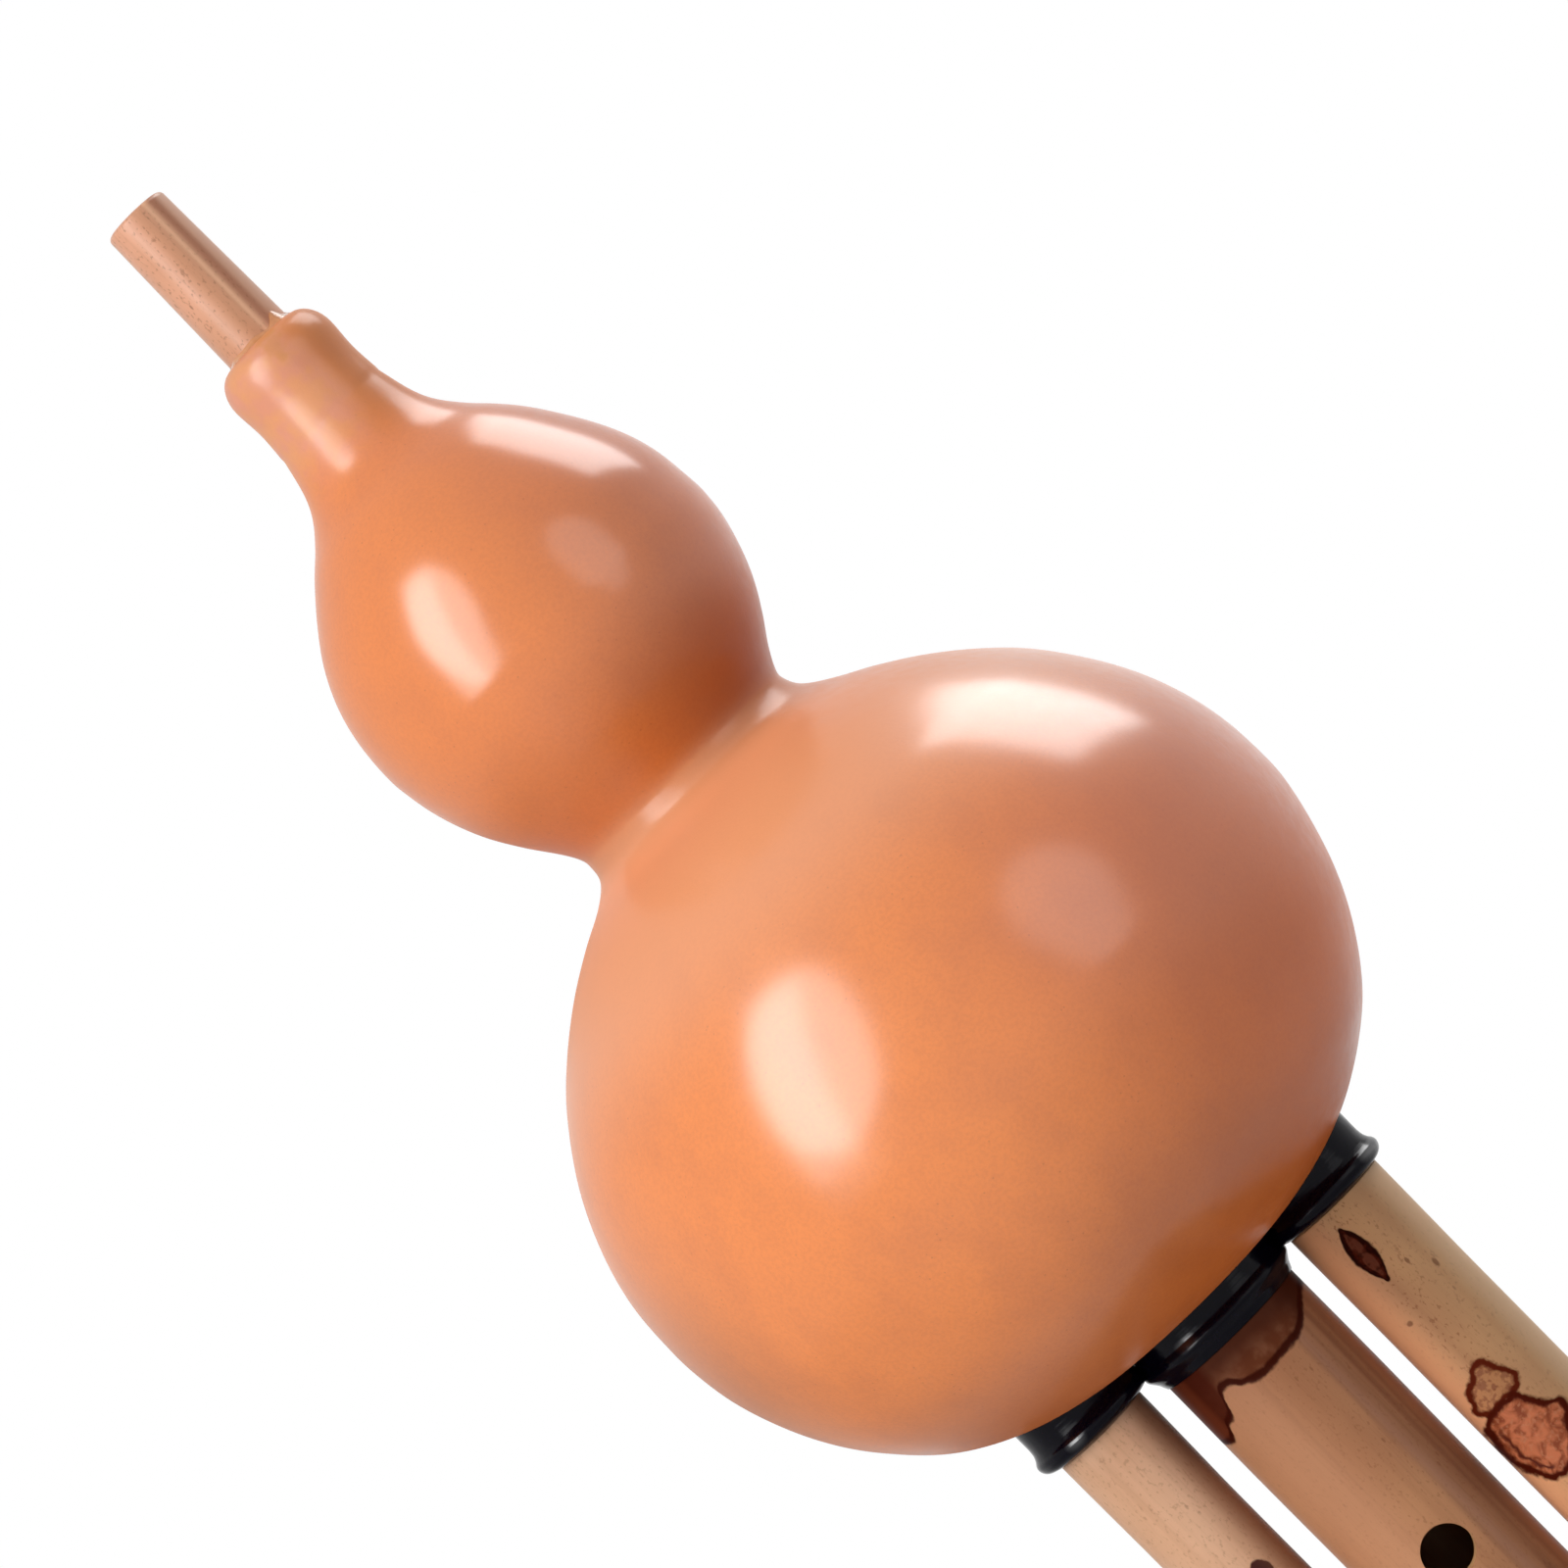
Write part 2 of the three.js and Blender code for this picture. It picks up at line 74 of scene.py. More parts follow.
# A surface of revolution about the upright line at x: each radius times the cosine and the sine of its
# turn. A profile that ends on the axis gets a point there, and one that closes on itself makes a ring.
def revolve(name, profile, segments, x=0, warp=None):
    profile = np.asarray(profile, float)
    ring = np.allclose(profile[0], profile[-1])
    if ring:
        profile = profile[:-1]
    inner = profile if ring else profile[1:-1]
    n, m = len(inner), segments
    turn = np.arange(m) * 2 * np.pi / m
    r, z = inner[:, 0][:, None], inner[:, 1][:, None]
    xyz = np.stack([r * np.cos(turn), r * np.sin(turn), z + 0 * turn], 2).reshape(-1, 3)
    if not ring:
        xyz = np.concatenate([xyz, [[0, 0, profile[0, 1]]], [[0, 0, profile[-1, 1]]]])
    if warp is not None:
        xyz = warp(xyz)
    xyz = xyz + [x, 0, 0]
    rows = np.arange(n if ring else n - 1)[:, None]
    cols = np.arange(m)[None, :]
    up, beside = (rows + 1) % n, (cols + 1) % m
    quads = np.stack([rows * m + cols, rows * m + beside, up * m + beside, up * m + cols], 2).reshape(-1, 4)
    loops, totals = quads.reshape(-1), np.full(len(quads), 4)
    if not ring:
        foot, top = n * m, n * m + 1
        j = np.arange(m)
        k = (j + 1) % m
        low = np.stack([np.full(m, foot), k, j], 1)
        high = np.stack([np.full(m, top), (n - 1) * m + j, (n - 1) * m + k], 1)
        loops = np.concatenate([loops, low.reshape(-1), high.reshape(-1)])
        totals = np.concatenate([totals, np.full(2 * m, 3)])
    return meshObject(name, xyz * mm, loops, totals)


def meshObject(name, vertices, loops, totals):
    mesh = bpy.data.meshes.new(name)
    mesh.vertices.add(len(vertices))
    mesh.vertices.foreach_set("co", vertices.astype(np.float32).ravel())
    mesh.loops.add(len(loops))
    mesh.loops.foreach_set("vertex_index", loops.astype(np.int32))
    mesh.polygons.add(len(totals))
    starts = np.concatenate([[0], np.cumsum(totals)[:-1]])
    mesh.polygons.foreach_set("loop_start", starts.astype(np.int32))
    mesh.update(calc_edges=True)
    mesh.validate()
    obj = bpy.data.objects.new(name, mesh)
    bpy.context.scene.collection.objects.link(obj)
    return obj


# A plain tool box between two corners, in millimetres.
def box(name, low, high):
    (x0, y0, z0), (x1, y1, z1) = low, high
    corners = np.array([[x, y, z] for z in (z0, z1) for y in (y0, y1) for x in (x0, x1)], float)
    faces = np.array([0, 2, 3, 1, 4, 5, 7, 6, 0, 1, 5, 4, 2, 6, 7, 3, 0, 4, 6, 2, 1, 3, 7, 5])
    return meshObject(name, corners * mm, faces, np.full(6, 4))


# Cuts the target with the tools for good, and drops them.
def cut(target, tools, operation="DIFFERENCE"):
    for tool in tools:
        modifier = target.modifiers.new("cut", "BOOLEAN")
        modifier.operation, modifier.solver, modifier.object = operation, "EXACT", tool
    graph = bpy.context.evaluated_depsgraph_get()
    mesh = bpy.data.meshes.new_from_object(target.evaluated_get(graph))
    target.modifiers.clear()
    old, target.data = target.data, mesh
    bpy.data.meshes.remove(old)
    mesh.name = target.name
    for tool in tools:
        data = tool.data
        bpy.data.objects.remove(tool)
        bpy.data.meshes.remove(data)


# Shades an edge smooth where its faces turn by less than the angle.
def smooth(obj, degrees=32):
    obj.data.shade_smooth()
    obj.data.set_sharp_from_angle(angle=math.radians(degrees))


# The gourd in millimetres, its waist at 0. The tables are shares of height and radius between full sizes,
# but the neck's are radius and height, and the lean's height and reach.
gourd = {
    "waistRadius": 14.5, "bigRadius": 45.08, "bigLevel": -42.9, "baseLevel": -78.7,
    "smallRadius": 22.9, "smallLevel": 21.9, "neckRadius": 7.1, "neckFoot": 54, "neckTop": 65,
    "neckRound": 2.6, "neckRoundHeight": 3.6, "wall": 4, "leanReach": 0.75,
    "bigTop": [[0.15, 0.987], [0.3, 0.933], [0.45, 0.836], [0.6, 0.69], [0.7, 0.553],
               [0.79, 0.395], [0.86, 0.24], [0.91, 0.11], [0.955, 0.025], [1, 0]],
    "smallFoot": [[0.06, 0.022], [0.16, 0.168], [0.3, 0.42], [0.45, 0.65], [0.6, 0.815],
                  [0.75, 0.93], [0.88, 0.985], [1, 1]],
    "smallTop": [[0.15, 0.972], [0.28, 0.9], [0.41, 0.773], [0.54, 0.595], [0.64, 0.425],
                 [0.72, 0.265], [0.8, 0.135], [0.88, 0.06], [1, 0]],
    "neck": [[7.1, 54.6], [6.97, 56.2], [6.9, 57.8], [6.97, 59.3], [7.07, 60.5], [7.1, 61.4]],
    "lean": [[0, -0.6], [0.04, -0.4], [0.09, 0.25], [0.19, 0.45], [0.28, 0.93], [0.4, 1.2], [0.5, 1.39],
             [0.56, 1.35], [0.6, 0.36], [0.63, 0.22], [0.72, 0.07], [0.78, -0.22], [0.86, -0.52],
             [0.91, -0.18], [0.95, 0], [1, 0]],
    "baseReachPower": 2.93, "baseDropPower": 1.8, "baseSteps": 12,
    "segments": 256, "rings": 224, "innerRings": 96, "neckRings": 24,
    "holeEdge": 0.2, "cutBelow": 4, "socketSegments": 96,
}


# The base is a superellipse: its reach is the sine and its drop the cosine, each to its own power.
def gourdOutline():
    g = gourd
    turn = np.linspace(0, np.pi / 2, g["baseSteps"])
    reach = np.sin(turn) ** (2 / g["baseReachPower"])
    drop = np.cos(turn) ** (2 / g["baseDropPower"])
    base = np.stack([g["bigRadius"] * reach, g["bigLevel"] + (g["baseLevel"] - g["bigLevel"]) * drop], 1)

    def stretch(rows, radius, rest, low, high):
        rows = np.array(rows)
        return np.stack([rest + (radius - rest) * rows[:, 1], low + (high - low) * rows[:, 0]], 1)

    return np.concatenate([
        base,
        stretch(g["bigTop"], g["bigRadius"], g["waistRadius"], g["bigLevel"], 0),
        stretch(g["smallFoot"], g["smallRadius"], g["waistRadius"], 0, g["smallLevel"]),
        stretch(g["smallTop"], g["smallRadius"], g["neckRadius"], g["smallLevel"], g["neckFoot"]),
    ])


# Moves each point square to the line between its neighbours, outwards for a distance above 0.
def offset(profile, distance):
    before = np.concatenate([profile[:1], profile[:-1]])
    after = np.concatenate([profile[1:], profile[-1:]])
    along = after - before
    along = along / np.linalg.norm(along, axis=1)[:, None]
    return profile + np.stack([along[:, 1], -along[:, 0]], 1) * distance


# How far the axis leans at a height: the table's shares, joined by smooth steps, times the reach.
def leanAt(z):
    rise = np.clip((z - gourd["baseLevel"]) / (gourd["neckFoot"] - gourd["baseLevel"]), 0, 1)
    rows = np.array(gourd["lean"])
    i = np.clip(np.searchsorted(rows[:, 0], rise, side="left"), 1, len(rows) - 1)
    f = (rise - rows[i - 1, 0]) / (rows[i, 0] - rows[i - 1, 0])
    f = np.clip(f, 0, 1)
    f = f * f * (3 - 2 * f)
    return gourd["leanReach"] * (rows[i - 1, 1] * (1 - f) + rows[i, 1] * f)


def leaning(xyz):
    moved = xyz.copy()
    moved[:, 0] += leanAt(xyz[:, 2])
    return moved


# The outline as a smooth curve, moved outwards, with its lowest point on the axis.
def gourdProfile(distance=0, rings=gourd["rings"]):
    outline = offset(spline(gourdOutline(), rings), distance)
    outline[0] = [0, gourd["baseLevel"] - distance]
    return outline


# The gourd as a solid up to the mouthpiece, to cut the collars with.
def gourdBody(name, distance):
    outline = gourdProfile(distance)
    kept = outline[(outline[:, 1] < gourd["smallLevel"]) | (outline[:, 0] > mouthpiece["radius"])]
    kept = np.concatenate([kept, [[0, kept[-1, 1]]]])
    return revolve(name, kept, gourd["segments"], warp=leaning)


# The skin with its real wall, as one closed profile turned round the axis and cut for the collars' sleeves.
def gourdShell():
    g = gourd
    outside = gourdProfile()
    rounding = g["neckRound"]
    neck = quarter(g["neckRadius"] - rounding, g["neckTop"] - g["neckRoundHeight"], rounding, 0, np.pi / 2)
    neck[:, 1] = g["neckTop"] + (neck[:, 1] - neck[-1, 1]) * g["neckRoundHeight"] / rounding
    hole = mouthpiece["radius"] + joinery["glueFit"]
    inside = gourdProfile(-g["wall"], g["innerRings"])
    inside = inside[(inside[:, 1] < g["smallLevel"]) | (inside[:, 0] > hole)][::-1]
    straight = spline(g["neck"], g["neckRings"])
    wall = [[hole, g["neckTop"]], [hole, inside[0, 1] + g["holeEdge"]]]
    profile = np.concatenate([outside, straight[:-1], neck, wall, inside])
    shell = revolve("gourdSkin", profile, g["segments"], warp=leaning)
    tools, below = [], g["baseLevel"] - g["cutBelow"]
    for pipe in pipes.values():
        radius, top = spigot(pipe) + joinery["glueFit"], pipe["collarTop"]
        socket = [[0, below], [radius, below], [radius, top], [0, top]]
        tools.append(revolve("tool", socket, g["socketSegments"], pipe["x"]))
    cut(shell, tools)
    smooth(shell)
    return shell


# Pipes and collars; a plate is the reed's width and length
drone = {"top": -38, "rim": -81.3, "bead": 0.75, "collarTop": -69.5, "cork": 6, "plate": (4.4, 21),
         "cover": 0.75}
pipes = {
    "main": {"x": 0, "radius": 9.15, "bore": 6.3, "top": -32, "foot": -333.5, "rim": -83.4, "bead": 0.4,
             "collar": 10.1, "collarTop": -72, "cork": 7, "plate": (7, 29), "cover": 0.6},
    "left": {**drone, "x": -17.5, "radius": 5.85, "bore": 3.2, "foot": -241.5, "collar": 7.1},
    "right": {**drone, "x": 17.5, "radius": 6.3, "bore": 3.5, "foot": -271.5, "collar": 7.2},
}
joinery = {"tenonStep": 0.65, "slideFit": 0.2, "glueFit": 0.15, "restGap": 0.3, "touch": 0.03, "sleeve": 0.9,
           "corkDepth": 0.7, "corkFromRim": 2.4, "pipeRound": 0.6, "shoulderRound": 0.15, "footSwell": 0.35}
# Rims from the foot up: shares of the height and of the bulge
bead = [[0, -1], [0.06, -0.1], [0.13, 0.45], [0.22, 0.8], [0.32, 0.97], [0.4, 1], [0.5, 0.85], [0.62, 0.45],
        [0.78, 0.12], [1, 0]]
cup = [[0, -1.9], [0.05, -1.7], [0.12, -1.4], [0.25, -0.85], [0.4, 0.13], [0.5, 0.75], [0.6, 1], [0.72, 0.75],
       [0.86, 0.2], [1, 0]]
collars = {"beadHeight": 3.6, "rim": {"main": cup, "left": bead, "right": bead}, "edge": 0.25, "cutLow": -95,
           "cutHigh": -60, "cutReach": 70, "rings": 46, "segments": 160, "smoothBelow": 40}


# The tenon's radius: the pipe's, less the step at its shoulder.
def tenon(pipe):
    return pipe["radius"] - joinery["tenonStep"]


# A sleeve's outer radius: the tenon's, plus the sliding fit and the sleeve's wall.
def spigot(pipe):
    return tenon(pipe) + joinery["slideFit"] + joinery["sleeve"]


# A collar's rolled rim: the table's shares times its real height and bulge.
def beadProfile(side, grow=0):
    pipe, rows = pipes[side], spline(collars["rim"][side], collars["rings"])
    return np.stack([pipe["collar"] + grow + pipe["bead"] * rows[:, 1],
                     pipe["rim"] + collars["beadHeight"] * rows[:, 0]], 1)


# A ring with its rim. The gourd is cut out of it outside its sleeve, and the middle rim out of the others.
def collar(side):
    pipe, c = pipes[side], collars
    bore, wide = tenon(pipe) + joinery["slideFit"], spigot(pipe)
    body = revolve(side + "CollarRing", np.concatenate([
        [[bore, pipe["collarTop"]], [bore, pipe["rim"] + c["edge"]], [bore + c["edge"], pipe["rim"]]],
        beadProfile(side), [[pipe["collar"], pipe["collarTop"]], [bore, pipe["collarTop"]]],
    ]), c["segments"], pipe["x"])
    keepOut = gourdBody("tool", joinery["touch"])
    low, high, reach = c["cutLow"], c["cutHigh"], c["cutReach"]
    ring = [[wide, high], [wide, low], [reach, low], [reach, high], [wide, high]]
    cut(keepOut, [revolve("tool", ring, c["segments"], pipe["x"])], "INTERSECT")
    tools = [keepOut]
    if side != "main":
        main = beadProfile("main", joinery["touch"])
        form = np.concatenate([[[0, main[0, 1]]], main, [[main[-1, 0], high], [0, high]]])
        tools.append(revolve("tool", form, c["segments"]))
    cut(body, tools)
    smooth(body, c["smoothBelow"])
    return body


# Each wave is its reach, its length and how often it counts the seed
growth = {"waves": [(0.05, 17, 1), (0.03, 7.3, 2)], "oval": 0.04, "shrink": 0.06, "skinFrom": 0.9,
          "fadeStart": 1.5, "fade": 12, "firstSeed": 0.7, "seedStep": 2.3, "ringStep": 2.5, "segments": 128}


# Bamboo is never quite round: its skin moves by the sum of the waves, sines of the height, plus an oval.
def uneven(pipe, seed):
    w = growth

    def warp(xyz):
        x, y, z = xyz.T
        free = np.clip((pipe["rim"] - w["fadeStart"] - z) / w["fade"], 0, 1)
        wave = sum(reach * np.sin(z / length + times * seed) for reach, length, times in w["waves"])
        r = np.hypot(x, y)
        outer = (r > pipe["radius"] * w["skinFrom"]) * free
        swell = (wave + w["oval"] * np.cos(2 * np.arctan2(y, x) + seed) - w["shrink"]) * outer
        moved = xyz.copy()
        moved[:, :2] *= (1 + swell / np.maximum(r, tiny))[:, None]
        return moved
    return warp


# A turned pipe in one closed profile: bore, swollen foot, skin, shoulder, tenon and cork groove.
def pipeBlank(side, seed):
    pipe, j = pipes[side], joinery
    thin, shoulder = tenon(pipe), pipe["rim"] - j["touch"]
    groove = pipe["rim"] + j["corkFromRim"]
    foot, edge, small = pipe["radius"] + j["footSwell"], j["pipeRound"], j["shoulderRound"]
    profile = fineProfile(np.concatenate([
        [[pipe["bore"], pipe["top"]], [pipe["bore"], pipe["foot"]]],
        quarter(foot - edge, pipe["foot"] + edge, edge, -np.pi / 2, 0),
        [[pipe["radius"], (pipe["foot"] + shoulder) / 2]],
        quarter(pipe["radius"] - small, shoulder - small, small, 0, np.pi / 2, 6),
        [[thin, shoulder], [thin, groove], [thin - j["corkDepth"], groove],
         [thin - j["corkDepth"], groove + pipe["cork"]], [thin, groove + pipe["cork"]],
         [thin, pipe["top"]], [pipe["bore"], pipe["top"]]],
    ]), growth["ringStep"])
    return revolve(side + "Bamboo", profile, growth["segments"], pipe["x"], uneven(pipe, seed))


holes = {"fingerRadius": 3, "first": -115.8, "pitch": 22.5, "count": 6, "thumb": -102.5,
         "vent": -262, "ventRadius": 2.6, "tassel": -279, "tasselRadius": 1.8, "tasselTurn": 0.62,
         "chamfer": 0.35, "flare": 3, "past": 2, "segments": 64}


# A round cutter from the pipe's axis outwards, flared where it leaves the pipe's skin.
def holeTool(radius, level, turn, pipeRadius):
    chamfer, end = holes["chamfer"], pipeRadius + holes["past"]
    wide = radius + holes["flare"] * chamfer
    tool = revolve("tool", [[0, 0], [radius, 0], [radius, pipeRadius - chamfer], [wide, end], [0, end]],
                   holes["segments"])
    place = Matrix.Translation((0, 0, level * mm)) @ Matrix.Rotation(turn, 4, "Z")
    tool.data.transform(place @ Matrix.Rotation(-math.pi / 2, 4, "X"))
    return tool


reed = {"fromTop": 5.5, "margin": 2, "wax": 0.7, "window": 0.62, "start": 0.16, "end": 0.86}


# Two box cutters: the flat that the plate lies on, and the window under its tongue into the bore.
def reedSeat(side):
    pipe = pipes[side]
    width, length = pipe["plate"]
    level = pipe["top"] - reed["fromTop"] - length / 2
    flat = pipe["bore"] + pipe["cover"]
    half = (length + 2 * reed["wax"] + reed["margin"]) / 2
    x, wide = pipe["x"], tenon(pipe)
    middle = level + length * ((reed["start"] + reed["end"]) / 2 - 0.5)
    window = (length * (reed["end"] - reed["start"]) + reed["margin"]) / 2
    slot = width * reed["window"] / 2
    seat = box("tool", (x - wide, -flat - wide, level - half), (x + wide, -flat, level + half))
    low = (x - slot, -flat - wide / 2, middle - window)
    high = (x + slot, -pipe["bore"] / 2, middle + window)
    return [seat, box("tool", low, high)]


def pipe(side, seed):
    body = pipeBlank(side, seed)
    tools = reedSeat(side)
    if side == "main":
        h, radius = holes, pipes[side]["radius"]
        for i in range(h["count"]):
            tools.append(holeTool(h["fingerRadius"], h["first"] - i * h["pitch"], math.pi, radius))
        tools.append(holeTool(h["fingerRadius"], h["thumb"], 0, radius))
        tools.append(holeTool(h["ventRadius"], h["vent"], 0, radius))
        for turn in (-h["tasselTurn"], h["tasselTurn"]):
            tools.append(holeTool(h["tasselRadius"], h["tassel"], turn, radius))
    cut(body, tools)
    smooth(body)
    return body


mouthpiece = {"radius": 4.2, "tipRadius": 3.9, "bore": 3.1, "top": 84.3, "foot": 47, "round": 0.6,
              "boreEdge": 0.3, "ringStep": 1, "segments": 96}


def mouthTube():
    m = mouthpiece
    lip = m["top"] - m["boreEdge"]
    profile = fineProfile(np.concatenate([
        [[m["bore"], lip], [m["bore"], m["foot"]], [m["radius"], m["foot"]], [m["radius"], gourd["neckTop"]]],
        quarter(m["tipRadius"] - m["round"], m["top"] - m["round"], m["round"], 0, np.pi / 2),
        [[m["bore"] + m["boreEdge"], m["top"]], [m["bore"], lip]],
    ]), m["ringStep"])
    tube = revolve("mouthTube", profile, m["segments"])
    smooth(tube)
    return tube


# Each ripple is its share, how often it goes round and where it starts
glueBead = {"width": 0.75, "height": 0.6, "gap": 0.01, "sunk": 0.2, "slopeReach": 0.94, "slopePower": 1.5,
            "blobHeight": 1.1, "blobWidth": 0.35, "blobTurn": -0.74, "blobSpread": 0.24,
            "ripples": [(0.25, 3, 1), (0.15, 7, 0)], "steps": 9, "segments": 160, "smoothBelow": 60}


# The bead of glue round the mouthpiece: its width and height times 1 plus the ripples, and a blob that
# climbs the tube, a bell curve of the turn. A wide ring is turned and then drawn in.
def glueFillet():
    g, foot, ring = glueBead, gourd["neckTop"] - glueBead["sunk"], 10.0
    turn = np.linspace(0, np.pi / 2, g["steps"])[1:]
    slope = np.stack([1 - g["slopeReach"] * np.sin(turn), np.sin(turn) ** g["slopePower"]], 1)
    profile = np.concatenate([[[0, 0], [1, 0]], slope, [[0, 1], [0, 0]]])

    def warp(xyz):
        angle = np.arctan2(xyz[:, 1], xyz[:, 0])
        share = np.hypot(xyz[:, 0], xyz[:, 1]) - ring
        away = np.abs((angle - g["blobTurn"] + np.pi) % (2 * np.pi) - np.pi)
        blob = np.exp(-(away / g["blobSpread"]) ** 2)
        ripple = sum((size * np.sin(count * angle + start) for size, count, start in g["ripples"]), 1)
        r = mouthpiece["radius"] + g["gap"] + share * g["width"] * (ripple + g["blobWidth"] * blob)
        z = foot + xyz[:, 2] * (g["height"] * ripple + g["blobHeight"] * blob)
        return np.stack([r * np.cos(angle), r * np.sin(angle), z], 1)

    bead = revolve("glueBead", profile + [ring, 0], g["segments"], warp=warp)
    smooth(bead, g["smoothBelow"])
    return bead


stopper = {"shank": 9, "head": 6, "flare": 1.4, "round": 1.2, "neckEnd": 0.7, "faceRound": 0.3,
           "steps": 15, "segments": 96}


# The neck's radius is the grip's, less the flare times the squared sine of the way along.
def stopperPiece(side):
    pipe, s = pipes[side], stopper
    shank, face = pipe["bore"] - joinery["slideFit"], pipe["foot"] - joinery["restGap"]
    grip, edge = pipe["radius"] - joinery["pipeRound"], joinery["pipeRound"]
    end, small = pipe["foot"] + s["shank"], s["faceRound"]
    way = np.linspace(0, 1, s["steps"])
    heights = face - s["head"] / 2 + way * (s["head"] / 2 - s["neckEnd"])
    neck = np.stack([grip - s["flare"] * np.sin(np.pi * way) ** 2, heights], 1)
    profile = np.concatenate([
        [[0, face - s["head"]]],
        quarter(grip - s["round"], face - s["head"] + s["round"], s["round"], -np.pi / 2, 0),
        neck, quarter(grip - small, face - small, small, 0, np.pi / 2, 4),
        [[shank, face], [shank, end - edge], [shank - edge, end], [0, end]],
    ])
    piece = revolve(side + "Stopper", profile, s["segments"], pipe["x"])
    smooth(piece)
    return piece


# Materials
# A colour in 0-255, as a screen shows it, made linear by the sRGB formula.
def rgb(r, g, b):
    c = np.array([r, g, b]) / 255
    linear = np.where(c <= 0.04045, c / 12.92, ((c + 0.055) / 1.055) ** 2.4)
    return (*linear.tolist(), 1)


seedSpread = (1, 1.7, 0.6)  # how far a pattern's seed moves it along x, y and z
stainSide = {"turn": 1, "ellipse": 9, "outline": 30}  # where the back starts, and what it adds to a stain


# A node material, in millimetres of object space, with x counted from the piece's own axis. A ramp can
# follow any of the named values.
class Look:

    def __init__(self, name, axis=0):
        self.material = bpy.data.materials.new(name)
        self.material.use_nodes = True
        self.tree = self.material.node_tree
        self.shader = self.tree.nodes["Principled BSDF"]
        coordinates = self.node("ShaderNodeTexCoord").outputs["Object"]
        self.place = self.vector("MULTIPLY", coordinates, (1 / mm,) * 3)
        x, self.y, self.z = self.node("ShaderNodeSeparateXYZ", {0: self.place}).outputs
        self.x = self.less(x, axis)
        self.values = {"x": self.x, "z": self.z}

    def node(self, kind, values=None, **settings):
        made = self.tree.nodes.new(kind)
        for key, value in settings.items():
            setattr(made, key, value)
        for key, value in (values or {}).items():
            self.put(made.inputs[key], value)
        return made

    def put(self, socket, value):
        if isinstance(value, bpy.types.NodeSocket):
            self.tree.links.new(value, socket)
        else:
            socket.default_value = value

    def set(self, **values):
        for key, value in values.items():
            self.put(self.shader.inputs[key.replace("_", " ")], value)
        return self

    def math(self, operation, a, b=0):
        return self.node("ShaderNodeMath", {0: a, 1: b}, operation=operation).outputs[0]

    def times(self, a, b):
        return self.math("MULTIPLY", a, b)

    def plus(self, a, b):
        return self.math("ADD", a, b)

    def less(self, a, b):
        return self.math("SUBTRACT", a, b)

    def larger(self, a, b):
        return self.math("MAXIMUM", a, b)

    # The root of the sum of both squares.
    def reach(self, a, b):
        return self.math("SQRT", self.plus(self.times(a, a), self.times(b, b)))

    def vector(self, operation, a, b):
        return self.node("ShaderNodeVectorMath", {0: a, 1: b}, operation=operation).outputs[0]

    def mix(self, share, a, b):
        return self.node("ShaderNodeMix", {0: share, 6: a, 7: b}, data_type="RGBA").outputs[2]

    # Space in units of a feature's size, stretched and moved by the seed.
    def scaled(self, size, stretch, seed):
        shrunk = self.vector("MULTIPLY", self.place, tuple(1 / (size * s) for s in stretch))
        return self.vector("ADD", shrunk, tuple(seed * s for s in seedSpread))

    # Noise whose features are about size millimetres across, stretched along each axis.
    def noise(self, size, detail=2, seed=0, stretch=(1, 1, 1), roughness=0.5, distortion=0):
        values = {"Vector": self.scaled(size, stretch, seed), "Scale": 1, "Detail": detail,
                  "Roughness": roughness, "Distortion": distortion}
        return self.node("ShaderNodeTexNoise", values).outputs[0]

    def cells(self, size, seed=0, stretch=(1, 1, 1)):
        values = {"Vector": self.scaled(size, stretch, seed), "Scale": 1}
        return self.node("ShaderNodeTexVoronoi", values).outputs["Distance"]

    # Noise less a half, times the strength, so that it swings to both sides of 0.
    def wobble(self, strength, *values, **named):
        return self.times(self.less(self.noise(*values, **named), 0.5), strength)

    # Keeps each noise of a table under its name: its size, detail, seed, stretch and roughness.
    def patterns(self, table, seed=0):
        for name, (size, detail, own, *others) in table.items():
            self.values[name] = self.noise(size, detail, own + seed, *others)

    # Goes smoothly from start to end while the value goes from low to high.
    def ease(self, value, low, high, start=0, end=1):
        made = self.node("ShaderNodeMapRange", {0: value, 1: low, 2: high, 3: start, 4: end},
                         interpolation_type="SMOOTHSTEP")
        return made.outputs[0]

    # The share on the centre value and as far as the core from it, falling to 0 at the width from it.
    def band(self, value, centre, width, core=0, share=1):
        return self.ease(self.math("ABSOLUTE", self.less(value, centre)), core, width, share, 0)

    # The share times each ramp: a named value, where it starts and is full, and what it starts from.
    def ramps(self, share, rows):
        for name, start, full, *rest in rows:
            share = self.times(share, self.ease(self.values[name], start, full, *rest))
        return share

    # Lays colours over each other, each with its share and its ramps.
    def layers(self, colour, rows):
        for over, share, ramps in rows:
            colour = self.mix(self.ramps(share, ramps), colour, rgb(*over))
        return colour

    # The first colour where the share is 0, the second where it is 1.
    def pair(self, share, first, second):
        return self.mix(share, rgb(*first), rgb(*second))

    def blend(self, value, low, high, *colours):
        return self.pair(self.ease(value, low, high), *colours)

    # A smooth curve through (input, output) points, both in real units.
    def curve(self, value, points):
        p = np.asarray(points, float)
        (x0, y0), (x1, y1) = p.min(0), p.max(0)
        share = self.math("DIVIDE", self.less(value, x0), x1 - x0)
        made = self.node("ShaderNodeFloatCurve", {1: share})
        line = made.mapping.curves[0]
        scaled = (p - [x0, y0]) / [x1 - x0, y1 - y0]
        while len(line.points) < len(scaled):
            line.points.new(0.5, 0.5)
        for spot, (a, b) in zip(line.points, scaled):
            spot.location = (a, b)
        made.mapping.update()
        return self.plus(self.times(made.outputs[0], y1 - y0), y0)

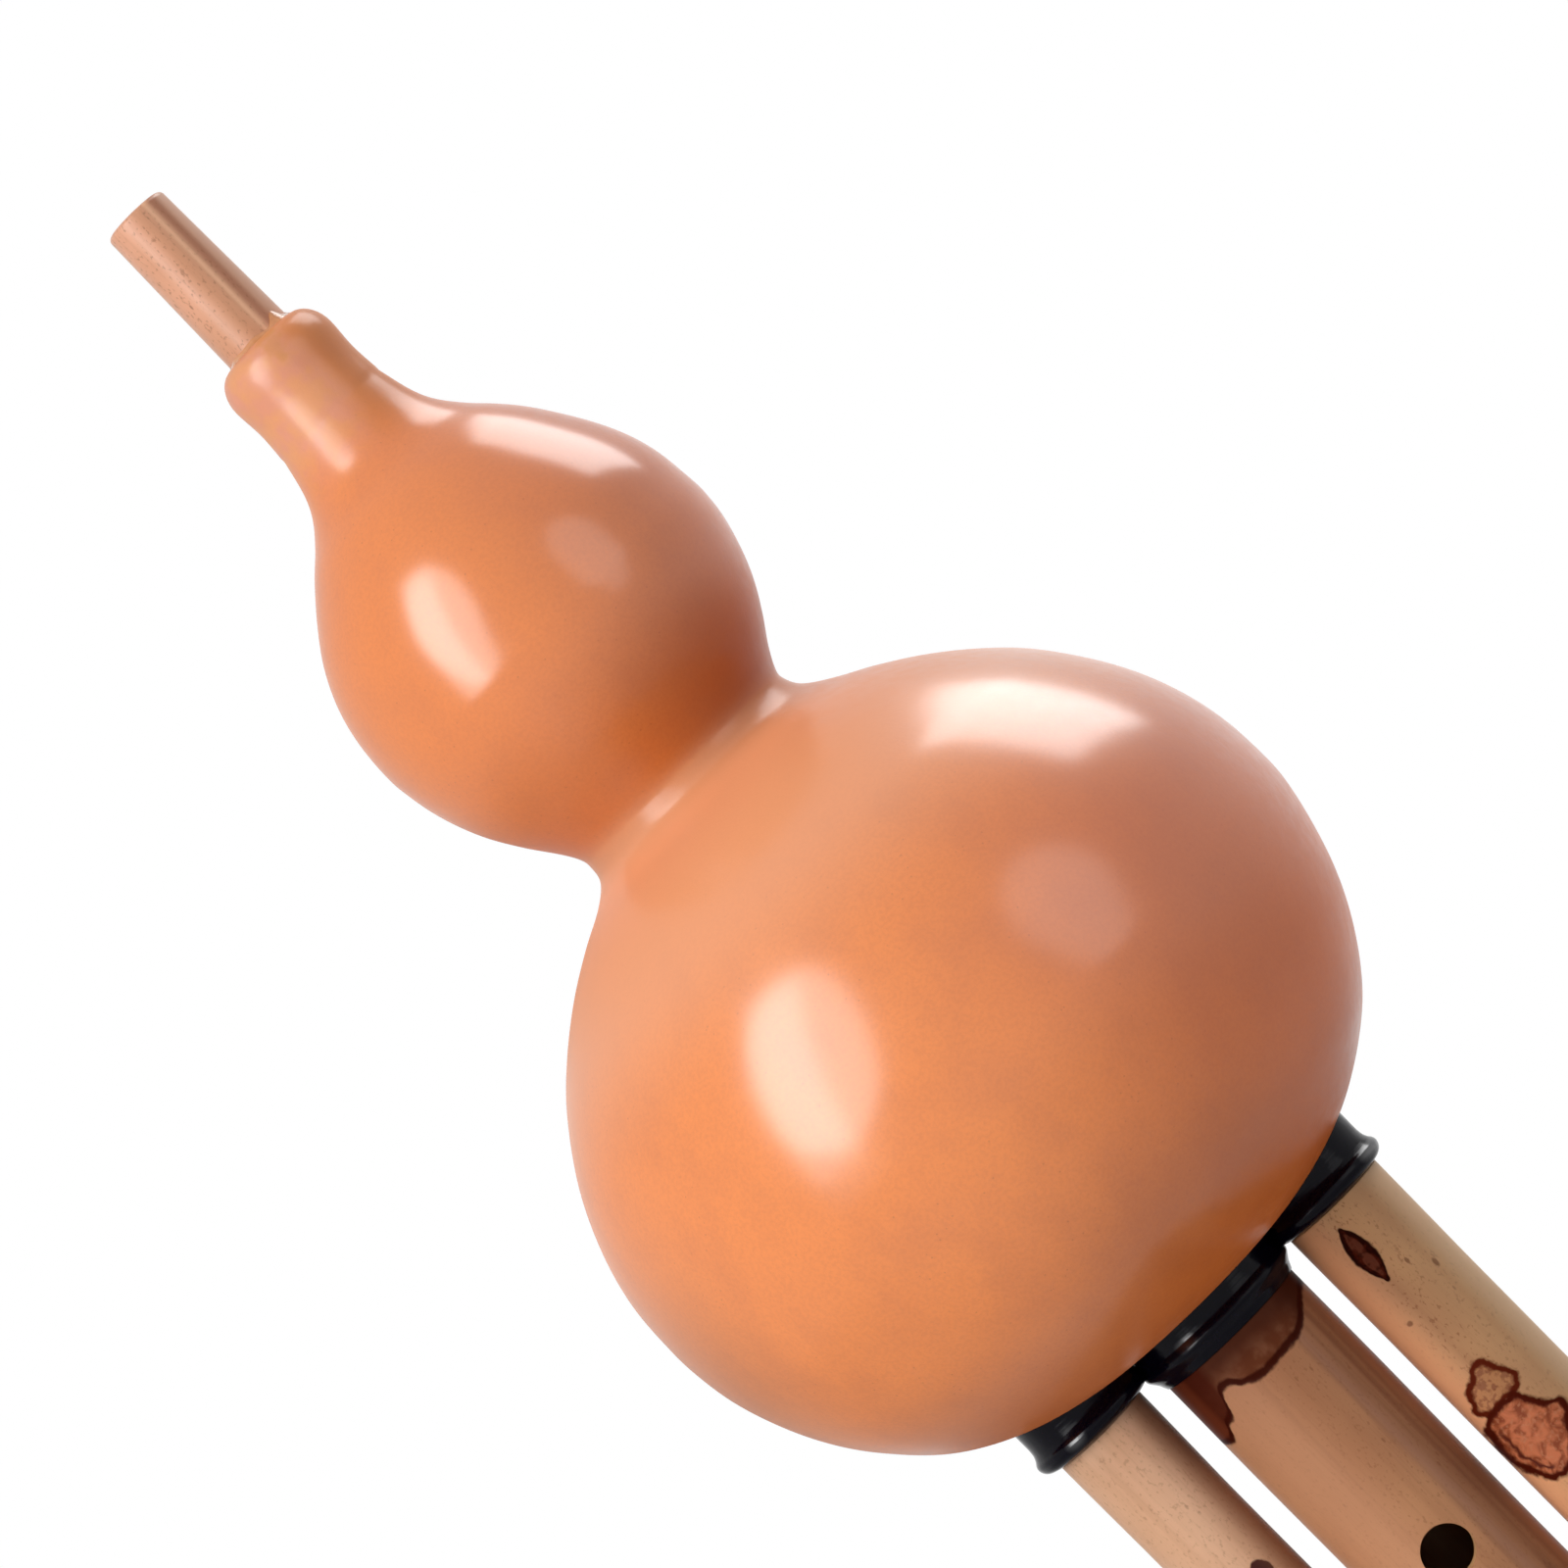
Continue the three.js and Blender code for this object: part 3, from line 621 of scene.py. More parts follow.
    # Shares of the radius outside an ellipse on the front: the scaled reach from its centre, less 1.
    def ellipse(self, centre, radii, wobble=0):
        dx = self.math("DIVIDE", self.less(self.x, centre[0]), radii[0])
        dz = self.math("DIVIDE", self.less(self.z, centre[1]), radii[1])
        return self.onFront(self.less(self.reach(dx, dz), 1), "ellipse", wobble)

    # Millimetres outside an outline on the front: the reach from its centre, less its radius that way.
    def outline(self, stain, wobble=0):
        dx = self.less(self.x, stain["centre"][0])
        dz = self.less(self.z, stain["centre"][1])
        angle = self.times(self.math("ARCTAN2", dz, dx), 180 / math.pi)
        distance = self.less(self.reach(dx, dz), self.curve(angle, stain["radii"]))
        return self.onFront(distance, "outline", wobble)

    # Puts a stain out of reach on the back.
    def onFront(self, distance, kind, wobble):
        behind = self.ease(self.y, -stainSide["turn"], stainSide["turn"], 0, stainSide[kind])
        return self.plus(self.plus(distance, behind), wobble)

    def bump(self, height, distance, strength=1, under=None):
        values = {"Height": height, "Distance": distance * mm, "Strength": strength}
        if under is not None:
            values["Normal"] = under
        return self.node("ShaderNodeBump", values).outputs[0]


# Each layer is a colour, its largest share and its ramps
gourdPaint = {
    "patterns": {
        "broad": (34, 2, 3.1), "middle": (7, 3, 1.3, (1, 1, 1.5)), "grains": (0.42, 2, 5.2, (1, 1, 1), 0.65),
        "sparse": (9, 1, 8), "mottled": (2.6, 2, 7.7), "cloudy": (1.6, 3, 4), "lumps": (4.5, 2, 6),
    },
    "pits": (1.1, 2),
    "skin": (243, 136, 60), "shoulderLevel": -14,
    "layers": [
        ((240, 136, 68), 1, [("broad", 0.35, 0.68)]),
        ((252, 144, 68), 1, [("z", -2, -12)]),
        ((214, 120, 68), 0.3, [("middle", 0.40, 0.75)]),
        ((196, 98, 56), 0.16, [("grains", 0.35, 0.70)]),
        ((176, 86, 48), 0.35, [("pits", 0.14, 0.05), ("sparse", 0.45, 0.58)]),
        ((158, 87, 50), 0.75, [("z", -3, 2.5), ("z", 22, 3), ("x", -8, 11, 0.25)]),  # waist's shade
        ((250, 170, 124), 0.85, [("z", 1, -3), ("z", -27, -8)]),  # painted light: pale top of the big bulb
        ((212, 148, 108), 0.6, [("z", -4, -0.6), ("z", 2.8, -0.6)]),  # painted highlight in the ring of the waist
        ((214, 92, 14), 0.68, [("x", -4, 34), ("fromShoulder", 0, 24, 0.15)]),  # painted shade on the right side, weaker near the shoulder
        ((140, 90, 60), 0.4, [("x", -32, -43), ("z", -26, -50)]),  # painted shade on the left rim
        ((150, 66, 10), 0.35, [("z", -78, -66), ("z", -54, -66), ("x", -14, 2),
                               ("x", 27, 13)]),  # painted shade low on the right
        ((206, 153, 124), 0.24, [("z", -8, 4), ("z", 16, 4), ("x", 0, -6)]),  # painted light on the waist's left side
    ],
    # painted shade round the foot above the collars, more saturated on the right
    "foot": (2, -14, (168, 84, 42), (164, 96, 68)),
    "footShadeShare": (0.62, [("z", -60, -76)]),
    # The neck's own pinker tone, paler on its left as painted light; its right side stays orange
    "throat": ((236, 168, 122), (232, 162, 136)),
    "throatSide": [((226, 136, 70), 0.9, [("x", 0.8, 4)])],
    "throatPatch": {"centre": (1, 63.2), "radii": (1.9, 2.2)},
    "throatSpot": [((206, 142, 78), 0.5, [("patch", 0.2, -0.4)])],
    "throatShare": (0.75, [("z", 45, 55)]),
    "worn": [
        (0.85, [("z", -68, -75)]),  # foot
        (0.6, [("z", -17, -8), ("z", 16, 7)]),  # waist
        (0.4, [("z", 44, 52)]),  # neck
        (0.42, [("side", 27, 42), ("z", -34, -56)]),  # low rim
    ],
    "neck": [("z", 44, 52)],
    "sheen": (0.22, [("x", -20, 34), ("z", 6, -6, 0.35), ("z", -58, -38, 0.1)]),
    "coat": 0.64, "coatIor": 2, "polish": 0.19, "wornPolish": 0.08,
    "rough": (0.30, 0.38), "neckRough": 0.1,
    "grainBump": (0.02, 0.9), "lumpBump": (0.07, 0.6),
}


def gourdLook():
    look, paint = Look("lacqueredGourd"), gourdPaint
    look.patterns(paint["patterns"])
    named = look.values
    named["pits"] = look.cells(*paint["pits"])
    named["side"] = look.math("ABSOLUTE", look.x)
    named["fromShoulder"] = look.math("ABSOLUTE", look.less(look.z, paint["shoulderLevel"]))
    colour = look.layers(rgb(*paint["skin"]), paint["layers"])
    colour = look.mix(look.ramps(*paint["footShadeShare"]), colour, look.blend(look.x, *paint["foot"]))
    mottled = look.ease(named["mottled"], 0.35, 0.65)
    throat = look.layers(look.pair(mottled, *paint["throat"]), paint["throatSide"])
    named["patch"] = look.ellipse(**paint["throatPatch"], wobble=look.times(mottled, 0.5))
    throat = look.layers(throat, paint["throatSpot"])
    colour = look.mix(look.ramps(*paint["throatShare"]), colour, throat)
    worn = 0
    for share, ramps in paint["worn"]:
        worn = look.larger(worn, look.ramps(share, ramps))
    neck = look.ramps(1, paint["neck"])
    rough = look.ease(named["cloudy"], 0.3, 0.7, *paint["rough"])
    fine = look.bump(named["grains"], *paint["grainBump"])
    return look.set(
        Base_Color=colour,
        Roughness=look.plus(rough, look.times(neck, paint["neckRough"])),
        Normal=look.bump(named["lumps"], *paint["lumpBump"], fine),
        Specular_IOR_Level=look.ramps(*paint["sheen"]),
        Coat_Weight=look.times(look.less(1, worn), paint["coat"]),
        Coat_Roughness=look.plus(paint["polish"], look.times(look.larger(worn, neck), paint["wornPolish"])),
        Coat_IOR=paint["coatIor"],
    ).material


bamboo = {
    "patterns": {
        "grain": (1.5, 3, 0, (1, 1, 28)), "fibres": (0.28, 2, 2, (1, 1, 40)), "cloud": (9, 2, 4, (1, 1, 2.2)),
        "swells": (3, 2, 5, (1, 1, 6)), "scattered": (6, 1, 6), "flecks": (0.34, 2, 8, (1, 1, 1.7)),
    },
    "pores": (1.3, 1, (1, 1, 2.5)),
    "grainShare": 0.4, "fibreShare": 0.22,
    "fibreBump": (0.012, 0.6), "swellBump": (0.05, 0.5),
    "bare": ((214, 170, 122), (186, 138, 92)), "bore": (120, 84, 56),
    "bareGrain": (0.5, 2, 3, (1, 1, 12)),
    "bareDepth": (0.55, 0.2), "boreDepth": 0.5, "boreShare": 0.75,
    "roughness": 0.45, "sheen": 0.18,
}


# The colour and the normal of lacquered bamboo: long grain, fine fibres, pores and flecks.
def bambooBase(look, paint):
    look.patterns(bamboo["patterns"], paint["seed"])
    (size, seed, stretch), pitted = bamboo["pores"], paint["pitted"]
    look.values["pores"] = look.cells(size, seed + paint["seed"], stretch)
    colour = look.layers(rgb(*paint["light"]), [
        (paint["dark"], 1, [("cloud", 0.3, 0.7)]),
        ((160, 104, 70), bamboo["grainShare"] * paint["grainy"], [("grain", 0.45, 0.75)]),
        ((140, 88, 60), bamboo["fibreShare"] * paint["grainy"], [("fibres", 0.5, 0.8)]),
        ((120, 70, 46), pitted, [("pores", 0.14, 0.06), ("scattered", 0.5, 0.6)]),
        ((150, 98, 66), pitted, [("flecks", 0.56, 0.72)]),
    ])
    normal = look.bump(look.values["fibres"], *bamboo["fibreBump"])
    return colour, look.bump(look.values["swells"], *bamboo["swellBump"], normal)


# A pipe's look, with bare, paler bamboo where the skin is cut away: hole walls, ends, tenon and bore,
# darkened by painted shade towards the bore.
def finishPipe(look, colour, normal, sheen, pipe):
    radius = look.reach(look.x, look.y)
    low, high = (pipe["radius"] - depth for depth in bamboo["bareDepth"])
    bare = look.pair(look.noise(*bamboo["bareGrain"]), *bamboo["bare"])
    boreShade = look.ease(radius, pipe["bore"], pipe["bore"] + bamboo["boreDepth"], bamboo["boreShare"], 0)
    bare = look.mix(boreShade, bare, rgb(*bamboo["bore"]))
    return look.set(Base_Color=look.mix(look.ease(radius, low, high, 1, 0), colour, bare),
                    Roughness=bamboo["roughness"], Normal=normal, Specular_IOR_Level=sheen).material


# The natural stains in millimetres from the pipe's axis: the edge is (x, z), outlines are (degrees, radius)
stains = {
    "edge": [(-9.2, -91.6), (-8.4, -92), (-7.8, -91.6), (-7.2, -90.2), (-6.5, -89.9), (-5.9, -88.7),
             (-5.5, -87.4), (-4.9, -86.9), (-4.2, -86.9), (-3.2, -87.7), (-1.9, -88.4), (0, -88.7),
             (2.6, -88.5), (5, -88.3), (6, -87.7), (7.3, -86.6), (7.9, -86), (8.8, -85.4), (9.2, -85.2)],
    "lens": {"centre": (-1.75, -87.25), "radii": [
        (-180, 1.3), (-150, 1.45), (-132, 1.75), (-116, 2.24), (-104, 2.84), (-95, 3.47), (-90, 4),
        (-85, 3.47), (-76, 2.84), (-64, 2.24), (-48, 1.75), (-30, 1.45), (0, 1.3), (30, 1.45), (48, 1.75),
        (64, 2.24), (76, 2.84), (85, 3.4), (90, 3.8), (95, 3.4), (104, 2.8), (116, 2.2), (132, 1.75),
        (150, 1.45), (180, 1.3)]},
    "loop": {"centre": (-1.9, -106.6), "radii": [
        (-180, 2.6), (-167, 2.85), (-144, 3.5), (-120, 2.8), (-99, 2.4), (-78, 2.4), (-50, 2.7), (-32, 3),
        (-10, 2.7), (21, 2.15), (51, 2.36), (83, 2.65), (105, 2.2), (124, 1.9), (160, 2.35), (180, 2.6)]},
    "blob": {"centre": (-2.05, -113.7), "radii": [
        (-180, 3.95), (-142, 4.3), (-118, 5), (-104, 5.4), (-85, 5), (-66, 4.4), (-46, 3.9), (-21, 3.8),
        (0, 4.7), (12, 4.4), (36, 3.6), (63, 4.1), (81, 4.8), (98, 4.8), (124, 5), (150, 4.25),
        (180, 3.95)]},
    "dots": [((3.2, -93.3), (0.25, 0.6)), ((-3.4, -96.1), (0.32, 0.32)), ((1.1, -91), (0.2, 0.4))],
    "leftSpot": {"centre": (1.85, -103.8), "radii": (1.25, 1.35)},
}

mainPaint = {
    "light": (196, 140, 100), "dark": (180, 124, 88), "seed": 1, "grainy": 0.8, "pitted": 0.45,
    "sides": [
        # painted light on the left of the pipe
        ((226, 164, 124), 0.34, [("x", 1.5, -4)]),
        # painted shade on the right of the pipe
        ((140, 88, 62), 0.6, [("across", 3, 8)]),
        ((166, 122, 104), 0.4, [("across", 3.7, 4.9), ("across", 6.1, 4.9)]),
    ],
    "streak": (98, 54, 38),
    "streaks": ((4.2, 0.5, 0.2), (5.9, 0.6, 0.3), (6.9, 0.7, 0.35), (7.9, 0.5, 0.3), (-2.1, 0.5, 0.1)),
    "fill": ((108, 58, 36), (134, 84, 60)), "fillZones": [
        # the stain darker at its top, with painted shadow under the collar
        ((82, 42, 28), 0.9, [("z", -87, -84.2)]),
        ((78, 28, 15), 0.92, [("x", -4.7, -5.9)]),  # the drip
        ((108, 50, 30), 0.9, [("x", -7.2, -8)]),
        # painted shade on the right of the stain
        ((72, 32, 20), 0.9, [("x", 4.6, 7.2)]),
    ],
    "edge": (58, 14, 5), "edgeSheen": 0.025,
}


# The edge of the stain is where the height above its outline crosses 0.
def mainPipeLook():
    look, paint = Look("stainedBamboo"), mainPaint
    colour, normal = bambooBase(look, paint)
    across = look.plus(look.x, look.wobble(1.6, 2.5, 2, 9, (1, 1, 24)))
    look.values["across"] = across
    colour = look.layers(colour, paint["sides"])
    for centre, width, share in paint["streaks"]:
        broken = look.ease(look.noise(3, 2, centre, (0.4, 1, 9)), 0.35, 0.6)
        line = look.band(across, centre, width, share=share)
        colour = look.mix(look.times(line, broken), colour, rgb(*paint["streak"]))
    wobble = look.wobble(0.7, 1.1, 3, seed=2)
    above = look.plus(look.less(look.z, look.curve(look.x, stains["edge"])), wobble)
    fill = look.blend(look.noise(2.2, 3, seed=7), 0.35, 0.65, *paint["fill"])
    fill = look.layers(fill, paint["fillZones"])
    colour = look.mix(look.ease(above, -0.15, 0.2), colour, fill)
    colour = look.mix(look.band(above, 0.3, 0.7, 0.25, 0.95), colour, rgb(*paint["edge"]))
    sheen = look.ease(above, -0.4, 0.3, bamboo["sheen"], paint["edgeSheen"])
    return finishPipe(look, colour, normal, sheen, pipes["main"])


rightPaint = {
    "light": (206, 156, 110), "dark": (180, 130, 92), "seed": 4, "grainy": 0.7, "pitted": 0.9,
    "sides": [
        # painted light: paler towards the right edge and at the left edge
        ((214, 168, 124), 0.45, [("x", -2, 3.5)]),
        ((232, 194, 156), 0.75, [("x", 2.8, 5.4)]),
        ((242, 172, 126), 0.8, [("x", -1.5, -5)]),
    ],
    "lens": ((40, 8, 3), (72, 22, 10)),
    "lensMarks": [
        ((104, 54, 38), 0.8, [("lens", -0.7, -1.1), ("patchy", 0.35, 0.6, 0.25)]),
        ((34, 8, 4), 0.9, [("lens", -0.6, -0.2), ("lens", 0.2, -0.2)]),
    ],
    "loop": ((178, 118, 74), (128, 66, 40)),
    "loopMarks": [((92, 30, 13), 1, [("loop", -0.72, -0.3), ("loop", 0.52, 0.1)])],
    "blob": ((200, 114, 76), (138, 66, 38)),
    "blobSpecks": [((196, 128, 92), 0.5, [("specks", 0.5, 0.7)])],
    "blobMarks": [
        ((74, 20, 8), 1, [("blob", -0.85, -0.35), ("blob", 0.55, 0.05)]),
        ((86, 30, 18), 1, [("blob", -1.7, -1.25), ("blob", -0.8, -1.25), ("z", -110.6, -112),
                           ("x", -2.6, -3.4)]),
    ],
    "dot": (112, 64, 42), "darkSheen": 0.17,
}


# Each stain is its distance outwards from an outline: filled below 0, and edged in a band round 0.
def rightPipeLook():
    look, paint = Look("spottedBamboo", pipes["right"]["x"]), rightPaint
    colour, normal = bambooBase(look, paint)
    colour = look.layers(colour, paint["sides"])
    near = look.wobble(0.8, 1.3, 3, seed=3)
    ragged = look.wobble(1.1, 1.2, 3, seed=5)
    lens = look.outline(stains["lens"], look.times(near, 0.45))
    loop = look.outline(stains["loop"], ragged)
    blob = look.outline(stains["blob"], ragged)
    look.values.update(lens=lens, loop=loop, blob=blob, patchy=look.noise(0.8, 2, seed=17),
                       specks=look.noise(0.5, 2, seed=13))
    spot = look.blend(look.noise(0.9, 2, seed=8), 0.4, 0.62, *paint["lens"])
    colour = look.mix(look.ease(lens, -0.12, 0.12, 1, 0), colour, spot)
    colour = look.layers(colour, paint["lensMarks"])
    speckled = look.blend(look.noise(0.7, 2, seed=15), 0.45, 0.6, *paint["loop"])
    colour = look.mix(look.ease(loop, -0.5, 0.1, 0.75, 0), colour, speckled)
    colour = look.layers(colour, paint["loopMarks"])
    red = look.blend(look.noise(1.9, 3, seed=11, distortion=1.2), 0.35, 0.65, *paint["blob"])
    red = look.layers(red, paint["blobSpecks"])
    colour = look.mix(look.ease(blob, -0.1, 0.1, 1, 0), colour, red)
    colour = look.layers(colour, paint["blobMarks"])
    for centre, radii in stains["dots"]:
        dot = look.ellipse(centre, radii, near)
        colour = look.mix(look.ease(dot, -0.4, 0.3, 0.7, 0), colour, rgb(*paint["dot"]))
    edges = look.larger(look.band(loop, -0.1, 0.9), look.band(blob, -0.1, 1))
    dark = look.larger(look.ease(lens, -0.2, 0.2, 1, 0), edges)
    sheen = look.less(bamboo["sheen"], look.times(dark, paint["darkSheen"]))
    return finishPipe(look, colour, normal, sheen, pipes["right"])


# The pale pipe's right side, towards the main pipe, is darkened with painted shade
leftPaint = {"light": (238, 192, 158), "dark": (224, 174, 138), "seed": 7, "grainy": 0.45, "pitted": 0.3,
             "spot": (66, 24, 16), "sides": [((134, 84, 56), 0.8, [("x", 1.6, 5.4)])]}


def leftPipeLook():
    look, paint = Look("paleBamboo", pipes["left"]["x"]), leftPaint
    colour, normal = bambooBase(look, paint)
    spot = look.ellipse(**stains["leftSpot"], wobble=look.wobble(0.8, 1.3, 3, seed=3))
    colour = look.mix(look.ease(spot, -0.12, 0.12, 1, 0), colour, rgb(*paint["spot"]))
    colour = look.layers(colour, paint["sides"])
    return finishPipe(look, colour, normal, bamboo["sheen"], pipes["left"])


mouthPaint = {
    "light": (234, 172, 140), "dark": (216, 156, 122), "seed": 11, "grainy": 0.8, "pitted": 0.6,
    "sides": [
        ((196, 134, 92), 0.3, [("x", -0.9, 0.3)]),
        # painted shade: a dark band down the tube
        ((176, 106, 74), 0.6, [("x", 1.9, 2.4)]),
        # painted light on the right edge
        ((236, 178, 144), 0.75, [("x", 2.6, 3.3)]),
        # painted highlight: a thin light line beside the dark band
        ((246, 192, 152), 0.7, [("x", 1.15, 1.6), ("x", 2.05, 1.6)]),
    ],
    "roughness": 0.34, "sheen": 0.4,
}


def mouthLook():
    look, paint = Look("mouthBamboo"), mouthPaint
    colour, normal = bambooBase(look, paint)
    return look.set(Base_Color=look.layers(colour, paint["sides"]), Roughness=paint["roughness"],
                    Normal=normal, Specular_IOR_Level=paint["sheen"]).material


plastic = {"black": (6, 4, 16), "dust": (24, 22, 46), "dustShare": 0.35, "ringsPerMm": 3,
           "roughness": (0.09, 0.20), "ringBump": (0.06, 0.6), "waveBump": (0.06, 0.6), "shine": 0.1,
           "glints": [(-4.4, -80.5), (-20.1, -79.9), (23.9, -79.9)], "glintSize": (1.9, 1.1)}


# Turned plastic: rings that depend on the height only, and shine where the rims catch the window.
def collarLook():
    look, p = Look("blackPlastic"), plastic
    level = look.node("ShaderNodeCombineXYZ", {2: look.times(look.z, p["ringsPerMm"])}).outputs[0]
    rings = look.node("ShaderNodeTexNoise", {"Vector": level, "Scale": 1, "Detail": 3}).outputs[0]
    dust = look.ease(look.noise(0.5, 2, seed=2), 0.60, 0.75, 0, p["dustShare"])
    normal = look.bump(rings, *p["ringBump"])
    shine = p["shine"]
    width, height = p["glintSize"]
    for x, z in p["glints"]:
        shine = look.larger(shine, look.times(look.band(look.x, x, width), look.band(look.z, z, height)))
    return look.set(Base_Color=look.pair(dust, p["black"], p["dust"]),
                    Roughness=look.ease(look.noise(1.2, 3, seed=3), 0.3, 0.7, *p["roughness"]),
                    Normal=look.bump(look.noise(1.6, 2, seed=6), *p["waveBump"], normal),
                    Specular_IOR_Level=shine).material


# Two colours that follow one noise, and a bump that follows another.
def plainLook(name, first, second, colours, relief, depth, **settings):
    look = Look(name)
    return look.set(Base_Color=look.pair(look.noise(*colours), first, second),
                    Normal=look.bump(look.noise(*relief), *depth), **settings).material


def glueLook():
    return plainLook("clearGlue", (226, 156, 98), (198, 124, 74), (0.8, 2, 3), (0.7, 2, 5), (0.12, 0.8),
                     Roughness=0.2, Coat_Weight=0.5, Coat_Roughness=0.08)


def waxLook():
    return plainLook("beeswax", (168, 92, 40), (128, 62, 26), (1.4, 3, 2), (0.9, 3, 5), (0.15, 0.7),
                     Roughness=0.45)


def brassLook():
    look = Look("thinBrass")
    rolled = look.noise(0.5, 3, 2, (1, 1, 14))
    stained = look.ease(look.noise(3.5, 3, 4), 0.4, 0.75, 0, 0.6)
    return look.set(Base_Color=look.pair(stained, (206, 168, 92), (146, 100, 50)), Metallic=1,
                    Roughness=look.ease(rolled, 0.3, 0.7, 0.22, 0.4),
                    Normal=look.bump(rolled, 0.01, 0.6)).material


def corkLook():
    look = Look("cork")
    grains = look.cells(0.8, 2)
    colour = look.blend(grains, 0.1, 0.7, (150, 104, 66), (196, 150, 104))
    pits = look.ease(look.cells(1.9, 5), 0.08, 0.2, 0.8, 0)
    return look.set(Base_Color=look.mix(pits, colour, rgb(92, 58, 36)), Roughness=0.9,
                    Normal=look.bump(grains, 0.06, 0.7), Specular_IOR_Level=0.25).material


def woodLook():
    look = Look("darkWood")
    grain = look.noise(0.7, 3, 3, (1, 1, 9))
    return look.set(Base_Color=look.blend(grain, 0.35, 0.7, (74, 42, 30), (44, 24, 18)), Roughness=0.34,
                    Normal=look.bump(grain, 0.02, 0.5), Coat_Weight=0.2, Coat_Roughness=0.2).material


# The dressed object
# Gives a new piece its material, puts it on its body, and lets it stand for its CAD nodes.
def dress(obj, material, slot, body, *nodes):
    obj.data.materials.clear()
    obj.data.materials.append(material)
    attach(obj, body)
    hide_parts(*nodes)


# Gives a CAD piece a new material.
def repaint(node, material):
    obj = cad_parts[node]
    for place in obj.material_slots:
        place.material = material


print("gourd and mouthpiece")
dress(gourdShell(), gourdLook(), "gourd_skin", "gourd", "gourd_shell")
dress(mouthTube(), mouthLook(), "mouth_bamboo", "gourd", "mouthpiece_tube")
dress(glueFillet(), glueLook(), "glue", "gourd", "mouthpiece_glue_fillet")

print("collars and pipes")
black, wood, brass, wax, cork = collarLook(), woodLook(), brassLook(), waxLook(), corkLook()
bodies = {"main": "finger_pipe", "left": "left_drone", "right": "right_drone"}
nodes = {"main": "main_pipe", "left": "left_drone_pipe", "right": "right_drone_pipe"}
slots = {"main": "bamboo", "left": "drone_bamboo", "right": "drone_bamboo"}
looks = {"main": mainPipeLook(), "left": leftPipeLook(), "right": rightPipeLook()}
for number, side in enumerate(pipes):
    seed = growth["firstSeed"] + number * growth["seedStep"]
    dress(collar(side), black, "black_plastic", "gourd", side + "_collar")
    dress(pipe(side, seed), looks[side], slots[side], bodies[side], nodes[side])
    repaint(side + "_tenon_cork", cork)
    repaint(side + "_reed_plate", brass)
    repaint(side + "_reed_wax", wax)
    repaint(side + "_top_plug", wood)
for side in ("left", "right"):
    dress(stopperPiece(side), wood, "dark_wood", side + "_stopper", side + "_drone_stopper")

# Stage, light and camera, in metres and degrees
view = {"pixelsPerMm": 9.5, "pixels": 1600, "distance": 0.80, "sensor": 36, "clip": (0.01, 20),
        "aim": (0.0069, 0, -0.0082), "roll": 44.55}
lights = {  # direction, size, power, turn and shape
    "window": ((-0.625, -0.62, 0.49), (0.30, 1.00), 2.5, 0, "RECTANGLE"),
    "glow": ((-0.51, -0.685, 0.525), (0.60, 0.98), 4.9, 0, "ELLIPSE"),
    "strip": ((0.706, 0.416, 0.573), (0.52, 0.50), 3.7, -33, "RECTANGLE"),
    "fill": ((0.75, -0.65, 0.20), (0.50, 0.64), 0.8, 0, "ELLIPSE"),
}
lightDistance, lightCentre = 0.9, (0, 0, -0.02)
ambient = 0.10
ground = {"level": -0.40, "radius": 1.25, "corners": 96, "grey": 0.86, "roughness": 0.8, "grain": (4, 3),
          "bump": (0.2, 0.3), "fade": (260, 1200)}  # grain, bump and fade in millimetres


# 1 for the rays that show the background: the camera's, mirrored ones and refracted ones.
def seenRays(tree):
    path = tree.nodes.new("ShaderNodeLightPath")
    seen = path.outputs["Is Camera Ray"]
    for kind in ("Is Glossy Ray", "Is Transmission Ray"):
        either = tree.nodes.new("ShaderNodeMath")
        either.operation = "MAXIMUM"
        tree.links.new(seen, either.inputs[0])
        tree.links.new(path.outputs[kind], either.inputs[1])
        seen = either.outputs[0]
    return seen


print("stage, light and camera")
bpy.context.scene.view_settings.view_transform = "Standard"
world = bpy.data.worlds.new("studio")
bpy.context.scene.world = world
world.use_nodes = True
nodesOf, linksOf = world.node_tree.nodes, world.node_tree.links
soft = nodesOf["Background"]
soft.inputs["Color"].default_value = (1, 1, 1, 1)
soft.inputs["Strength"].default_value = ambient
white = nodesOf.new("ShaderNodeBackground")
white.inputs["Color"].default_value = (1, 1, 1, 1)
join = nodesOf.new("ShaderNodeMixShader")
linksOf.new(seenRays(world.node_tree), join.inputs[0])
linksOf.new(soft.outputs[0], join.inputs[1])
linksOf.new(white.outputs[0], join.inputs[2])
linksOf.new(join.outputs[0], nodesOf["World Output"].inputs["Surface"])

